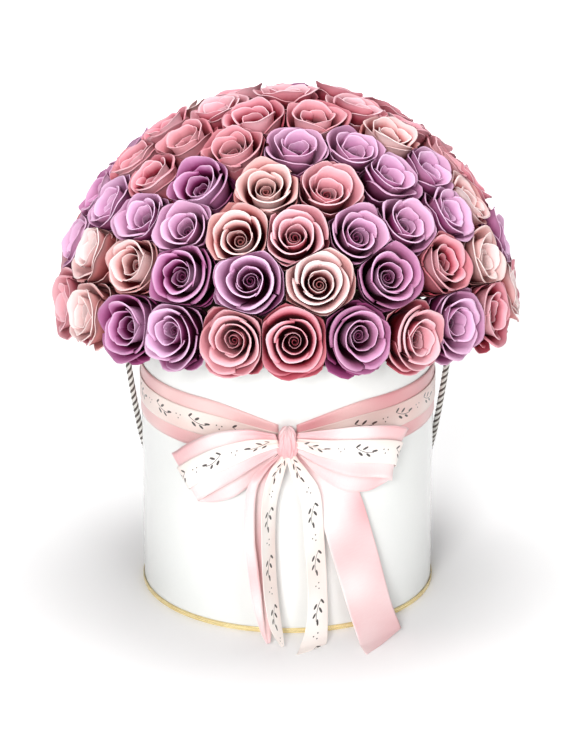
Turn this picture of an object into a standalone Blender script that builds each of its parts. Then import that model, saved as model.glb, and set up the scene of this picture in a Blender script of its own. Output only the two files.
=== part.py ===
"""A round hat box filled with a dome of preserved roses, with a satin bow and a twisted carrying cord.

Run it with blender --background --python part.py, or from Blender's text editor.
Sizes are in metres. The origin is the centre of the box's underside, +Z is up and -Y is the front.
"""

import math
import random

import bmesh
import bpy
import numpy as np
from mathutils import Vector
from mathutils.geometry import interpolate_bezier

# The box: a laminated board tube on a glued-in board disc
BOX_RADIUS = 0.110
BOX_HEIGHT = 0.210
WALL = 0.0025
BOARD = 0.0025
GAP = 0.0003
FOIL_HEIGHT = 0.0042
FOIL_THICKNESS = 0.0006
BOX_SEGMENTS = 40
INNER_SEGMENTS = BOX_SEGMENTS // 2
EYELET_SEGMENTS = 10

# The foam and the plastic cup that it stands in
LINER_WALL = 0.001
LINER_HEIGHT = 0.172
FOAM_SHOULDER = 0.178
FOAM_DOME_RADIUS = 0.094

# The dome of roses, as rings round an axis that leans back a little
DOME_CENTRE = np.array([0.0, 0.0, 0.210])
DOME_LEAN = math.radians(5.5)
FACE_RADIUS = 0.167
ROSE_RADIUS = 0.0270
STEM_TOP = 0.127
STEM_END = 0.082
STEM_RADIUS = 0.0023
STEM_CLEARANCE = 0.0007

# The ribbons, the bow and the cord
SATIN_WIDTH = 0.040
PRINTED_WIDTH = 0.018
RIBBON_THICKNESS = 0.0008
LYING = 0.0009
SATIN_OFF_WALL = 0.0008
PRINTED_OFF_WALL = 0.0020
RIBBON_SECTIONS = 17
BAND_HEIGHT = 0.160
KNOT_HEIGHT = 0.1555
CORD_DIAMETER = 0.0048
CORD_KNOT_RADIUS = 0.0054
CORD_KNOT_SHAPE = (1.0, 1.15, 0.95)
EYELET_HEIGHT = 0.190
EYELET_HOLE = 0.0056

# Roses stop short of the plane between them and a neighbour, or run past it where the two are joined
CELL_CLEARANCE = 0.0002
JOIN_OVERLAP = 0.0015

# Neighbouring roses of one colour share a node until this many nodes are left
ROSE_NODES = 39
SEED = 3

# Roses whose directions have at least this cosine between them are neighbours
NEIGHBOUR = math.cos(math.radians(19.0))

COLOURS = {"P": "pink", "M": "mauve", "C": "cream"}

# Each ring of roses: its elevation and first azimuth in degrees, and its colours from there to the right
RINGS = [
    (8.0, 1.9, "PMPMPCPMMPPCCMPPMPPCMMP"),
    (22.2, -10.1, "MCMPCMPPMMCPPMPMCCM"),
    (34.7, 3.4, "PMMMCPPCMPPMCPPMMMMC"),
    (46.8, -7.8, "CPMMPPMMPCPMPPM"),
    (58.8, 3.2, "MMCPPMPPCPPP"),
    (72.0, -26.9, "PPPPMPP"),
    (90.0, 0.0, "P"),
]


def clear_scene():
    for thing in list(bpy.data.objects):
        bpy.data.objects.remove(thing, do_unlink=True)


def material(name, colour, roughness, metallic=0.0):
    made = bpy.data.materials.new(name)
    made.use_nodes = True
    shader = made.node_tree.nodes["Principled BSDF"]
    shader.inputs["Base Color"].default_value = (*colour, 1.0)
    shader.inputs["Roughness"].default_value = roughness
    shader.inputs["Metallic"].default_value = metallic
    made.diffuse_color = (*colour, 1.0)
    return made


def add_object(name, mesh, finish, smooth_angle=None):
    mesh.materials.clear()
    mesh.materials.append(finish)
    made = bpy.data.objects.new(name, mesh)
    bpy.context.scene.collection.objects.link(made)
    if smooth_angle:
        mesh.shade_smooth()
        mesh.set_sharp_from_angle(angle=math.radians(smooth_angle))
    return made


def mesh_of(name, points, faces):
    mesh = bpy.data.meshes.new(name)
    mesh.from_pydata([tuple(point) for point in points], [], [tuple(face) for face in faces])
    mesh.validate()
    return mesh


def turned(name, profile, segments, finish):
    """Spin a profile of (radius, height) points round the Z axis; a closed one makes a ring."""
    shape = bmesh.new()
    corners = [shape.verts.new((radius, 0.0, height)) for radius, height in profile]
    for one, other in zip(corners, corners[1:]):
        shape.edges.new((one, other))
    if profile[0][0] > 0:
        shape.edges.new((corners[-1], corners[0]))
    geometry = shape.verts[:] + shape.edges[:]
    bmesh.ops.spin(
        shape, geom=geometry, cent=(0, 0, 0), axis=(0, 0, 1), angle=2 * math.pi, steps=segments
    )
    bmesh.ops.remove_doubles(shape, verts=shape.verts[:], dist=1e-6)
    bmesh.ops.recalc_face_normals(shape, faces=shape.faces[:])
    mesh = bpy.data.meshes.new(name)
    shape.to_mesh(mesh)
    shape.free()
    return add_object(name, mesh, finish, smooth_angle=40)


def ring_profile(inner, outer, low, high):
    return [(outer, high), (outer, low), (inner, low), (inner, high)]


def drop_scraps(mesh):
    """Keep only the largest of a mesh's loose parts."""
    shape = bmesh.new()
    shape.from_mesh(mesh)
    seen = set()
    parts = []
    for first in shape.faces:
        if first in seen:
            continue
        seen.add(first)
        part = [first]
        for face in part:
            found = {other for edge in face.edges for other in edge.link_faces} - seen
            seen |= found
            part += found
        parts.append(part)
    parts.sort(key=len)
    for part in parts[:-1]:
        bmesh.ops.delete(shape, geom=part, context="FACES")
    shape.to_mesh(mesh)
    shape.free()


def boolean(thing, others, operation, solver="EXACT"):
    """Join or cut by every object of a list at once, then remove those objects."""
    group = bpy.data.collections.new(thing.name + "_others")
    bpy.context.scene.collection.children.link(group)
    for other in others:
        other.users_collection[0].objects.unlink(other)
        group.objects.link(other)
    change = thing.modifiers.new(operation.lower(), "BOOLEAN")
    change.operation = operation
    change.operand_type = "COLLECTION"
    change.collection = group
    change.solver = solver
    graph = bpy.context.evaluated_depsgraph_get()
    finished = bpy.data.meshes.new_from_object(thing.evaluated_get(graph))
    thing.modifiers.clear()
    thing.data = finished
    drop_scraps(finished)
    for other in others:
        bpy.data.objects.remove(other, do_unlink=True)
    bpy.data.collections.remove(group)


def build_box():
    """The board tube with a hole for each end of the cord, its base, foil edge and eyelets."""
    board = material("white_board", (0.86, 0.87, 0.85), 0.22)
    foil = material("gold_foil", (0.72, 0.55, 0.22), 0.3, 0.9)
    metal = material("brass", (0.75, 0.6, 0.3), 0.3, 1.0)

    inside = BOX_RADIUS - WALL
    wall = turned("box_wall", ring_profile(inside, BOX_RADIUS, 0, BOX_HEIGHT), BOX_SEGMENTS, board)
    bpy.ops.mesh.primitive_cylinder_add(
        vertices=EYELET_SEGMENTS,
        radius=EYELET_HOLE,
        depth=3 * BOX_RADIUS,
        location=(0, 0, EYELET_HEIGHT),
        rotation=(0, math.pi / 2, 0),
    )
    boolean(wall, [bpy.context.object], "DIFFERENCE")

    disc = [(0, BOARD), (inside - GAP, BOARD), (inside - GAP, 0), (0, 0)]
    turned("base_board", disc, BOX_SEGMENTS, board)

    skin = BOX_RADIUS + GAP
    band = ring_profile(skin, skin + FOIL_THICKNESS, GAP, FOIL_HEIGHT)
    turned("gold_edge", band, BOX_SEGMENTS, foil)

    # An eyelet is a flange outside, a barrel through the wall and a clinched lip inside
    flange, lip, barrel, bore = 0.0080, 0.0068, EYELET_HOLE - GAP, 0.0036
    face, back = BOX_RADIUS + 0.0011, BOX_RADIUS - WALL - 0.0013
    outline = [
        (bore, face),
        (flange, face),
        (flange, BOX_RADIUS + GAP),
        (barrel, BOX_RADIUS + GAP),
        (barrel, inside - 2 * GAP),
        (lip, inside - 2 * GAP),
        (lip, back),
        (bore, back),
    ]
    for name, turn in (("eyelet_left", -math.pi / 2), ("eyelet_right", math.pi / 2)):
        eyelet = turned(name, outline, EYELET_SEGMENTS, metal)
        eyelet.rotation_euler = (0, turn, 0)
        eyelet.location = (0, 0, EYELET_HEIGHT)


def build_liner():
    """A thin plastic cup that keeps the foam off the board."""
    plastic = material("clear_film", (0.8, 0.82, 0.82), 0.3)
    outside = BOX_RADIUS - WALL - GAP
    floor = BOARD + GAP
    outline = [
        (0, floor),
        (outside, floor),
        (outside, LINER_HEIGHT),
        (outside - LINER_WALL, LINER_HEIGHT),
        (outside - LINER_WALL, floor + LINER_WALL),
        (0, floor + LINER_WALL),
    ]
    turned("liner", outline, INNER_SEGMENTS, plastic)


def ring_directions():
    """Unit directions of the roses from the dome's centre, with each one's colour letter."""
    jitter = random.Random(SEED)
    directions, letters = [], []
    for elevation, first, colours in RINGS:
        for index, letter in enumerate(colours):
            shift = 0.0 if len(colours) == 1 else 0.9
            azimuth = first + 360.0 * index / len(colours) + jitter.uniform(-shift, shift)
            height = math.radians(elevation + jitter.uniform(-shift, shift))
            bearing = math.radians(azimuth)
            level = math.cos(height)
            flat = np.array([level * math.sin(bearing), -level * math.cos(bearing), math.sin(height)])
            y, z = flat[1], flat[2]
            lean, upright = math.sin(DOME_LEAN), math.cos(DOME_LEAN)
            directions.append([flat[0], y * upright + z * lean, z * upright - y * lean])
            letters.append(letter)
    return np.array(directions), letters


def rose_groups(directions, letters):
    """Gather neighbours of one colour, smallest groups first, until they fit the number of nodes.

    It gives each rose's group and the pairs that were joined.
    """
    count = len(letters)
    group = list(range(count))
    pairs = [
        (float(-directions[i] @ directions[j]), i, j)
        for i in range(count)
        for j in range(i + 1, count)
        if letters[i] == letters[j] and directions[i] @ directions[j] > NEIGHBOUR
    ]
    joins = set()
    while len(set(group)) > ROSE_NODES:
        sizes = {name: group.count(name) for name in set(group)}
        open_pairs = [
            (sizes[group[i]] + sizes[group[j]], apart, i, j)
            for apart, i, j in pairs
            if group[i] != group[j]
        ]
        _, _, i, j = min(open_pairs)
        old, new = group[j], group[i]
        group = [new if name == old else name for name in group]
        joins |= {(i, j), (j, i)}
    return group, joins


# The petals' relief, from the bud outwards: corners round the ring, radius as a share of the head's,
# height over the face in metres, how far each petal opens from its tucked edge, and its first corner
PETAL_RINGS = [
    (3, 0.17, 0.0060, 0.30, 0),
    (3, 0.27, -0.0035, 0.10, 0),
    (6, 0.40, 0.0058, 0.22, 1),
    (6, 0.53, -0.0040, 0.10, 1),
    (9, 0.70, 0.0035, 0.16, 1),
    (6, 0.80, -0.0055, 0.06, 1),
    (9, 1.00, -0.0035, 0.12, 2),
]
PETALS_PER_RING = 3
# The rings beyond this share are the lip, which joins the neighbours of one node
LIP_SHARE = 0.9
# The most that a lip is drawn out towards such a neighbour, as a share of the head's radius
LONGEST_LIP = 1.35
# A petal's open edge stands this much higher than its tucked one
PETAL_RISE = 0.0012


def across(axis):
    """Two directions square to an axis and to each other."""
    u = np.array(Vector(axis).orthogonal().normalized())
    return u, np.cross(axis, u)


def cell_limit(axis, others, clearances, outward, height):
    """How far from its axis a rose may reach at a height, towards outward, before its neighbour's cell."""
    towards = others @ outward
    room = height * (1.0 - others @ axis) - clearances * np.linalg.norm(others - axis, axis=1)
    facing = towards > 1e-6
    return float(np.min(room[facing] / towards[facing])) if facing.any() else math.inf


def head_reach(axis, others, clearances, outward, radius):
    """The head's outer radius towards outward, and whether it runs into a rose of its own node."""
    height = FACE_RADIUS + PETAL_RINGS[-1][2]
    fused = clearances < 0
    joined = cell_limit(axis, others[fused], clearances[fused], outward, height)
    limit = cell_limit(axis, others, clearances, outward, height)
    meets = joined <= limit + 1e-6 and joined < LONGEST_LIP * radius
    return (joined if meets else min(radius, limit)), meets


def lip_angles(corners, turn, u, v, fused):
    """Even angles round a head's lip, the nearest one turned to face each rose that it joins."""
    angles = [turn + 2 * math.pi * corner / corners for corner in range(corners)]
    for other in fused:
        towards = math.atan2(other @ v, other @ u)
        offsets = [math.remainder(towards - angle, 2 * math.pi) for angle in angles]
        nearest = min(range(corners), key=lambda corner: abs(offsets[corner]))
        angles[nearest] += offsets[nearest]
    return angles


def rose_mesh(name, axis, others, clearances, turn, scale):
    """One rose as a relief of petals on its head, running down to a three-sided stem."""
    u, v = across(axis)
    radius = ROSE_RADIUS * scale
    fused = others[clearances < 0]
    points, rings = [], []
    for corners, share, height, opening, first in PETAL_RINGS:
        each = corners // PETALS_PER_RING
        ring = []
        angles = lip_angles(corners, turn, u, v, fused if share > LIP_SHARE else [])
        for corner, angle in enumerate(angles):
            outward = math.cos(angle) * u + math.sin(angle) * v
            opened = ((corner - first) % each) / max(each - 1, 1) if each > 1 else 0.5
            level = FACE_RADIUS + height + PETAL_RISE * (opened - 0.5)
            whole, meets = head_reach(axis, others, clearances, outward, radius)
            blend = share * share
            reach = share * ((1 - blend) * radius + blend * whole)
            if not (meets and share > LIP_SHARE):
                reach *= 1 + opening * (opened - 0.5)
            reach = min(reach, cell_limit(axis, others, clearances, outward, level))
            ring.append(len(points))
            points.append(level * axis + reach * outward)
        rings.append(ring)
    for height, radius in ((STEM_TOP, STEM_RADIUS), (STEM_END, STEM_RADIUS)):
        ring = []
        for corner in range(3):
            angle = turn + 2 * math.pi * corner / 3
            ring.append(len(points))
            points.append(height * axis + radius * (math.cos(angle) * u + math.sin(angle) * v))
        rings.append(ring)

    faces = [rings[0], rings[-1][::-1]]
    for inner, outer in zip(rings, rings[1:]):
        faces += bridge(inner, outer)
    return mesh_of(name, np.array(points) + DOME_CENTRE, faces)


def bridge(inner, outer):
    """Triangles between two rings of corners, each step taken on the ring that lags behind."""
    faces = []
    i = j = 0
    while i < len(inner) or j < len(outer):
        a, b = inner[i % len(inner)], outer[j % len(outer)]
        if j * len(inner) <= i * len(outer) and j < len(outer):
            faces.append((a, b, outer[(j + 1) % len(outer)]))
            j += 1
        else:
            faces.append((a, b, inner[(i + 1) % len(inner)]))
            i += 1
    return faces


def build_roses():
    """The roses, neighbours of one colour in one node, and the foam with a hole for every stem."""
    finishes = {
        "P": material("pink_petals", (0.72, 0.33, 0.37), 0.7),
        "M": material("mauve_petals", (0.50, 0.30, 0.52), 0.7),
        "C": material("cream_petals", (0.85, 0.60, 0.56), 0.7),
    }
    directions, letters = ring_directions()
    groups, joins = rose_groups(directions, letters)
    jitter = random.Random(SEED + 1)
    turns = [jitter.uniform(0, 2 * math.pi) for _ in letters]
    scales = [jitter.uniform(0.97, 1.04) for _ in letters]

    numbers = {"P": 0, "M": 0, "C": 0}
    for group in sorted(set(groups), key=groups.index):
        members = [k for k, name in enumerate(groups) if name == group]
        letter = letters[members[0]]
        numbers[letter] += 1
        name = f"roses_{COLOURS[letter]}_{numbers[letter]:02d}"
        made = []
        for k in members:
            rest = [j for j in range(len(letters)) if j != k]
            clearances = np.array([-JOIN_OVERLAP if (k, j) in joins else CELL_CLEARANCE for j in rest])
            mesh = rose_mesh(name, directions[k], directions[rest], clearances, turns[k], scales[k])
            made.append(add_object(name, mesh, finishes[letter]))
        if len(made) > 1:
            # EXACT leaves open edges where the lips of three roses meet
            boolean(made[0], made[1:], "UNION", "MANIFOLD")
        made[0].name = name

    build_foam(directions, turns)


def build_foam(directions, turns):
    """Florist's foam: a plug in the liner, domed on top, with a plain hole for each stem."""
    brown = material("foam", (0.10, 0.07, 0.05), 0.95)
    floor = BOARD + 2 * GAP + LINER_WALL
    plug = BOX_RADIUS - WALL - 2 * GAP - LINER_WALL
    low = math.asin((FOAM_SHOULDER - DOME_CENTRE[2]) / FOAM_DOME_RADIUS)
    steps = 4
    outline = [(0, floor), (plug, floor), (plug, FOAM_SHOULDER)]
    for step in range(steps):
        rise = low + (math.pi / 2 - low) * step / steps
        outline.append(
            (FOAM_DOME_RADIUS * math.cos(rise), DOME_CENTRE[2] + FOAM_DOME_RADIUS * math.sin(rise))
        )
    outline.append((0, DOME_CENTRE[2] + FOAM_DOME_RADIUS))
    foam = turned("foam_core", outline, INNER_SEGMENTS, brown)

    corners, faces = [], []
    hole = STEM_RADIUS + STEM_CLEARANCE
    for axis, turn in zip(directions, turns):
        u, v = across(axis)
        start = len(corners)
        for height in (STEM_END - STEM_CLEARANCE, FOAM_DOME_RADIUS + 2 * hole):
            for corner in range(3):
                angle = turn + 2 * math.pi * corner / 3
                corners.append(height * axis + hole * (math.cos(angle) * u + math.sin(angle) * v))
        faces += [(start + 2, start + 1, start), (start + 3, start + 4, start + 5)]
        for k in range(3):
            n = (k + 1) % 3
            faces.append((start + k, start + n, start + 3 + n, start + 3 + k))
    cutter = add_object("stem_holes", mesh_of("stem_holes", corners, faces), brown)
    cutter.location = tuple(DOME_CENTRE)
    boolean(foam, [cutter], "DIFFERENCE")


def smooth_route(points, step, end_step, end_run):
    """A smooth curve through a few hand-placed points, read at even steps, closer near its ends."""
    points = [Vector(point) for point in points]
    ends = [2 * points[0] - points[1]] + points + [2 * points[-1] - points[-2]]
    fine = []
    for k in range(1, len(ends) - 2):
        before, start, stop, after = ends[k - 1 : k + 3]
        out = start + (stop - before) / 6
        back = stop - (after - start) / 6
        fine += interpolate_bezier(start, out, back, stop, 17)[:-1]
    fine.append(points[-1])
    runs = [0.0]
    for one, other in zip(fine, fine[1:]):
        runs.append(runs[-1] + (other - one).length)
    total = runs[-1]
    near = np.linspace(0.0, end_run, round(end_run / end_step) + 1)
    middle = np.linspace(end_run, total - end_run, round((total - 2 * end_run) / step) + 1)
    wanted = np.concatenate([near[:-1], middle, total - near[-2::-1]])
    rows = np.array([tuple(point) for point in fine])
    return np.stack([np.interp(wanted, runs, rows[:, axis]) for axis in range(rows.shape[1])], axis=1)


def on_wall(azimuth, off, height):
    """A place in front of the wall: degrees round from the front, metres off the wall, and height."""
    turn = math.radians(azimuth)
    radius = BOX_RADIUS + off
    return np.array([radius * math.sin(turn), -radius * math.cos(turn), height])


def strip(name, centres, sides, finish, thickness=RIBBON_THICKNESS):
    """A ribbon: at each centre its half width runs along the side vector, both faces split alike.

    No edge goes lower than a ribbon that lies on the surface.
    """
    centres, sides = np.array(centres), np.array(sides)
    along = np.gradient(centres, axis=0)
    normal = np.cross(along, sides)
    normal /= np.linalg.norm(normal, axis=1)[:, None]
    half = normal * thickness / 2
    left, right = centres - sides, centres + sides
    for edge in (left, right):
        edge[:, 2] = np.maximum(edge[:, 2], LYING)
    corners = np.stack([left - half, right - half, right + half, left + half], axis=1).reshape(-1, 3)
    faces = [(0, 1, 2), (0, 2, 3)]
    for k in range(len(centres) - 1):
        a, b = 4 * k, 4 * k + 4
        faces += [(a, b + 1, a + 1), (a, b, b + 1)]
        faces += [(a + 3, a + 2, b + 2), (a + 3, b + 2, b + 3)]
        faces += [(a + 1, b + 1, b + 2), (a + 1, b + 2, a + 2)]
        faces += [(a, a + 3, b + 3), (a, b + 3, b)]
    last = 4 * (len(centres) - 1)
    faces += [(last, last + 2, last + 1), (last, last + 3, last + 2)]
    mesh = mesh_of(name, corners, faces)
    shape = bmesh.new()
    shape.from_mesh(mesh)
    bmesh.ops.recalc_face_normals(shape, faces=shape.faces[:])
    shape.to_mesh(mesh)
    shape.free()
    return add_object(name, mesh, finish)


# A band starts this many degrees beside the front, behind the knot, and is at its full width
# that many degrees further on
BAND_START = 5.8
BAND_GATHER = 32.0
GATHERED_SHARE = 0.52
BAND_SECTIONS = 37


def band(name, off, width, finish):
    """A ribbon round the box that is gathered towards the knot at both of its ends."""
    centres, sides = [], []
    for azimuth in np.linspace(BAND_START, 360.0 - BAND_START, BAND_SECTIONS):
        beside = min(azimuth, 360.0 - azimuth) - BAND_START
        ease = math.sin(min(1.0, max(0.0, beside / BAND_GATHER)) * math.pi / 2)
        height = KNOT_HEIGHT + (BAND_HEIGHT - KNOT_HEIGHT) * ease
        half = width / 2 * (GATHERED_SHARE + (1 - GATHERED_SHARE) * ease)
        centres.append(on_wall(azimuth, off, height))
        sides.append((0.0, 0.0, half))
    strip(name, centres, sides, finish)


# Each loop of the bow, from the knot round its tip and back: azimuth, metres off the wall, height,
# half width of the satin as a share, and the lean of its width from the vertical, in degrees
LEFT_LOOP = [
    (-5.2, 0.0104, 0.1555, 0.42, 20),
    (-12.0, 0.0140, 0.1530, 0.70, 20),
    (-22.0, 0.0155, 0.1430, 0.95, 27),
    (-31.0, 0.0140, 0.1305, 1.00, 34),
    (-36.6, 0.0128, 0.1215, 1.00, 38),
    (-38.8, 0.0100, 0.1180, 1.00, 38),
    (-37.0, 0.0070, 0.1175, 1.00, 36),
    (-31.0, 0.0062, 0.1205, 1.00, 31),
    (-22.0, 0.0062, 0.1285, 0.95, 25),
    (-12.0, 0.0062, 0.1420, 0.70, 25),
    (-5.2, 0.0062, 0.1525, 0.42, 22),
]
RIGHT_LOOP = [
    (4.6, 0.0104, 0.1552, 0.42, -8),
    (12.0, 0.0140, 0.1525, 0.70, -10),
    (22.0, 0.0158, 0.1487, 0.95, -12),
    (33.0, 0.0145, 0.1437, 1.00, -16),
    (39.6, 0.0128, 0.1385, 1.00, -20),
    (41.8, 0.0100, 0.1345, 1.00, -24),
    (39.8, 0.0070, 0.1305, 1.00, -26),
    (33.0, 0.0062, 0.1285, 1.00, -23),
    (22.0, 0.0062, 0.1335, 0.95, -21),
    (12.0, 0.0062, 0.1447, 0.70, -22),
    (4.6, 0.0062, 0.1540, 0.42, -10),
]
# How far outside the satin the printed ribbon of a loop runs
PRINTED_LAYER = 0.0017


def loop(name, stations, width, outside, finish):
    """A bow loop, outside its stations by a distance that is the same all the way round."""
    table = smooth_stations(stations, RIBBON_SECTIONS)
    centres = np.array([on_wall(*row[:3]) for row in table])
    sides = []
    for azimuth, _, _, share, lean in table:
        turn, tilt = math.radians(azimuth), math.radians(lean)
        level = np.array([math.cos(turn), math.sin(turn), 0.0])
        upright = np.array([0.0, 0.0, 1.0])
        sides.append((math.cos(tilt) * upright - math.sin(tilt) * level) * share * width / 2)
    sides = np.array(sides)
    along = np.gradient(centres, axis=0)
    outward = np.cross(along, sides)
    outward /= np.linalg.norm(outward, axis=1)[:, None]
    if outward[2] @ on_wall(table[2][0], 0, 0) < 0:
        outward = -outward
    return strip(name, centres + outside * outward, sides, finish)


def smooth_stations(stations, count):
    """The same smooth curve through rows of several numbers, read at even steps of the real path."""
    rows = np.array(stations, float)
    ends = np.vstack([2 * rows[0] - rows[1], rows, 2 * rows[-1] - rows[-2]])
    fine = []
    for k in range(1, len(ends) - 2):
        before, start, stop, after = ends[k - 1 : k + 3]
        for t in np.linspace(0, 1, 16, endpoint=False):
            out, back = start + (stop - before) / 6, stop - (after - start) / 6
            s = 1 - t
            fine.append(s**3 * start + 3 * s * s * t * out + 3 * s * t * t * back + t**3 * stop)
    fine = np.array(fine + [rows[-1]])
    places = np.array([on_wall(*row[:3]) for row in fine])
    runs = np.concatenate([[0], np.cumsum(np.linalg.norm(np.diff(places, axis=0), axis=1))])
    wanted = np.linspace(0, runs[-1], count)
    return np.stack([np.interp(wanted, runs, fine[:, k]) for k in range(fine.shape[1])], axis=1)


# Each tail, from the knot down to the surface: azimuth, metres off the wall, height,
# half width in metres, and the turn of its width out of the wall's plane, in degrees
TAILS = {
    "satin_tail_right": [
        (2.7, 0.0038, 0.1446, 0.0050, 0),
        (7.5, 0.0020, 0.1330, 0.0085, 0),
        (12.8, 0.0021, 0.1235, 0.0130, 0),
        (18.4, 0.0034, 0.1095, 0.0165, 0),
        (24.4, 0.0075, 0.0665, 0.0182, 4),
        (27.6, 0.0130, 0.0360, 0.0188, 6),
        (29.0, 0.0180, 0.0190, 0.0190, 6),
        (29.6, 0.0235, 0.0085, 0.0190, 3),
        (29.4, 0.0300, 0.0030, 0.0190, 0),
        (28.9, 0.0370, 0.0010, 0.0190, 0),
    ],
    "satin_tail_left": [
        (-2.2, 0.0080, 0.1428, 0.0035, 0),
        (-6.8, 0.0100, 0.1320, 0.0060, 35),
        (-10.0, 0.0135, 0.1180, 0.0110, 62),
        (-10.5, 0.0145, 0.0860, 0.0130, 68),
        (-9.4, 0.0150, 0.0620, 0.0130, 68),
        (-7.9, 0.0170, 0.0320, 0.0110, 66),
        (-6.8, 0.0205, 0.0130, 0.0070, 60),
        (-6.0, 0.0245, 0.0026, 0.0015, 40),
    ],
    "printed_tail_middle": [
        (1.6, 0.0118, 0.1427, 0.0040, 0),
        (4.6, 0.0130, 0.1300, 0.0065, 12),
        (8.0, 0.0128, 0.1120, 0.0086, 24),
        (9.4, 0.0125, 0.0760, 0.0090, 28),
        (10.2, 0.0128, 0.0490, 0.0090, 28),
        (10.2, 0.0155, 0.0245, 0.0090, 24),
        (9.2, 0.0210, 0.0095, 0.0090, 16),
        (8.0, 0.0270, 0.0034, 0.0090, 6),
        (7.0, 0.0330, 0.0010, 0.0090, 0),
    ],
    "printed_tail_left": [
        (-1.4, 0.0118, 0.1427, 0.0030, 0),
        (-3.8, 0.0155, 0.1320, 0.0060, 28),
        (-5.8, 0.0176, 0.1115, 0.0085, 54),
        (-6.2, 0.0180, 0.0830, 0.0088, 62),
        (-5.9, 0.0185, 0.0590, 0.0088, 62),
        (-5.3, 0.0200, 0.0396, 0.0084, 60),
        (-3.6, 0.0238, 0.0160, 0.0060, 50),
        (-1.4, 0.0298, 0.0028, 0.0012, 30),
    ],
}
# How far the left edge of a slanted tail's end runs on past its right edge
END_SLANT = {"satin_tail_right": 0.030, "printed_tail_middle": 0.020}


def tail(name, stations, finish):
    """A free end of the bow, whose width stays square to its run and turns out of the wall's plane."""
    table = smooth_stations(stations, RIBBON_SECTIONS)
    centres = np.array([on_wall(*row[:3]) for row in table])
    along = np.gradient(centres, axis=0)
    along /= np.linalg.norm(along, axis=1)[:, None]
    sides = []
    for row, ahead in zip(table, along):
        turn, twist = math.radians(row[0]), math.radians(row[4])
        outward = np.array([math.sin(turn), -math.cos(turn), 0.0])
        level = np.array([math.cos(turn), math.sin(turn), 0.0])
        flat = level - (level @ ahead) * ahead
        flat /= np.linalg.norm(flat)
        lifted = np.cross(flat, ahead)
        lifted *= math.copysign(1.0, lifted @ outward)
        sides.append((math.cos(twist) * flat - math.sin(twist) * lifted) * row[3])
    sides = np.array(sides)
    slant = END_SLANT.get(name, 0.0)
    for k in range(1, 5):
        share = (5 - k) / 4
        sides[-k] -= along[-k] * slant / 2 * share * share
    strip(name, centres, sides, finish)


def build_ribbons():
    """The two ribbons round the box, one on the other, and the bow: knot, loops and tails."""
    satin = material("pink_satin", (0.86, 0.55, 0.57), 0.35)
    printed = material("cream_satin", (0.93, 0.86, 0.80), 0.4)
    band("satin_band", SATIN_OFF_WALL, SATIN_WIDTH, satin)
    band("printed_band", PRINTED_OFF_WALL, PRINTED_WIDTH, printed)
    build_knot(satin)
    for side, stations in (("left", LEFT_LOOP), ("right", RIGHT_LOOP)):
        loop("satin_loop_" + side, stations, SATIN_WIDTH, 0.0, satin)
        loop("printed_loop_" + side, stations, PRINTED_WIDTH, PRINTED_LAYER, printed)
    for name, stations in TAILS.items():
        tail(name, stations, satin if name.startswith("satin") else printed)


# The knot's half sizes, how far it stands off the wall, and how square it is: 1 for round
KNOT_HALF = np.array([0.0090, 0.0080, 0.0128])
KNOT_OFF_WALL = 0.0005
KNOT_POWER = 0.72


def build_knot(satin):
    """The bow's knot: a ball with squared flanks."""
    corners, faces = [], []
    around, rows = 12, 6
    centre = on_wall(0.0, KNOT_OFF_WALL + KNOT_HALF[1], KNOT_HEIGHT)
    for row in range(rows + 1):
        rise = -math.pi / 2 + math.pi * row / rows
        for step in range(around if 0 < row < rows else 1):
            turn = 2 * math.pi * step / around
            ball = np.array(
                [math.cos(rise) * math.cos(turn), math.cos(rise) * math.sin(turn), math.sin(rise)]
            )
            corners.append(np.sign(ball) * np.abs(ball) ** KNOT_POWER * KNOT_HALF + centre)
    for row in range(rows):
        low = [0] if row == 0 else [1 + (row - 1) * around + k for k in range(around)]
        high = [len(corners) - 1] if row == rows - 1 else [1 + row * around + k for k in range(around)]
        if len(high) == 1:
            faces += [(low[(k + 1) % around], low[k], high[0])[::-1] for k in range(around)]
        else:
            faces += [face[::-1] for face in bridge(low, high)]
    add_object("bow_knot", mesh_of("bow_knot", corners, faces), satin, smooth_angle=60)


# The cord's route in metres: out of the left eyelet, down the wall, along the surface behind the box
# and up to the right eyelet
CORD_ROUTE = [
    (-0.1062, 0.0000, 0.1900),
    (-0.1106, 0.0000, 0.1900),
    (-0.1144, 0.0001, 0.1892),
    (-0.1175, 0.0005, 0.1871),
    (-0.1196, 0.0012, 0.1839),
    (-0.1204, 0.0021, 0.1800),
    (-0.1202, 0.0036, 0.1720),
    (-0.1190, 0.0056, 0.1610),
    (-0.1170, 0.0090, 0.1450),
    (-0.1145, 0.0140, 0.1260),
    (-0.1112, 0.0222, 0.1040),
    (-0.1054, 0.0412, 0.0740),
    (-0.0945, 0.0640, 0.0440),
    (-0.0840, 0.0855, 0.0190),
    (-0.0765, 0.1040, 0.0060),
    (-0.0690, 0.1210, 0.0028),
    (-0.0560, 0.1390, 0.0027),
    (-0.0350, 0.1535, 0.0027),
    (-0.0080, 0.1590, 0.0027),
    (0.0200, 0.1570, 0.0027),
    (0.0440, 0.1480, 0.0027),
    (0.0620, 0.1330, 0.0027),
    (0.0730, 0.1150, 0.0030),
    (0.0800, 0.0985, 0.0075),
    (0.0870, 0.0805, 0.0225),
    (0.0965, 0.0610, 0.0470),
    (0.1062, 0.0390, 0.0760),
    (0.1112, 0.0222, 0.1040),
    (0.1145, 0.0140, 0.1260),
    (0.1170, 0.0090, 0.1450),
    (0.1190, 0.0056, 0.1610),
    (0.1202, 0.0036, 0.1720),
    (0.1204, 0.0021, 0.1800),
    (0.1196, 0.0012, 0.1839),
    (0.1175, 0.0005, 0.1871),
    (0.1144, 0.0001, 0.1892),
    (0.1106, 0.0000, 0.1900),
    (0.1062, 0.0000, 0.1900),
]


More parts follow.
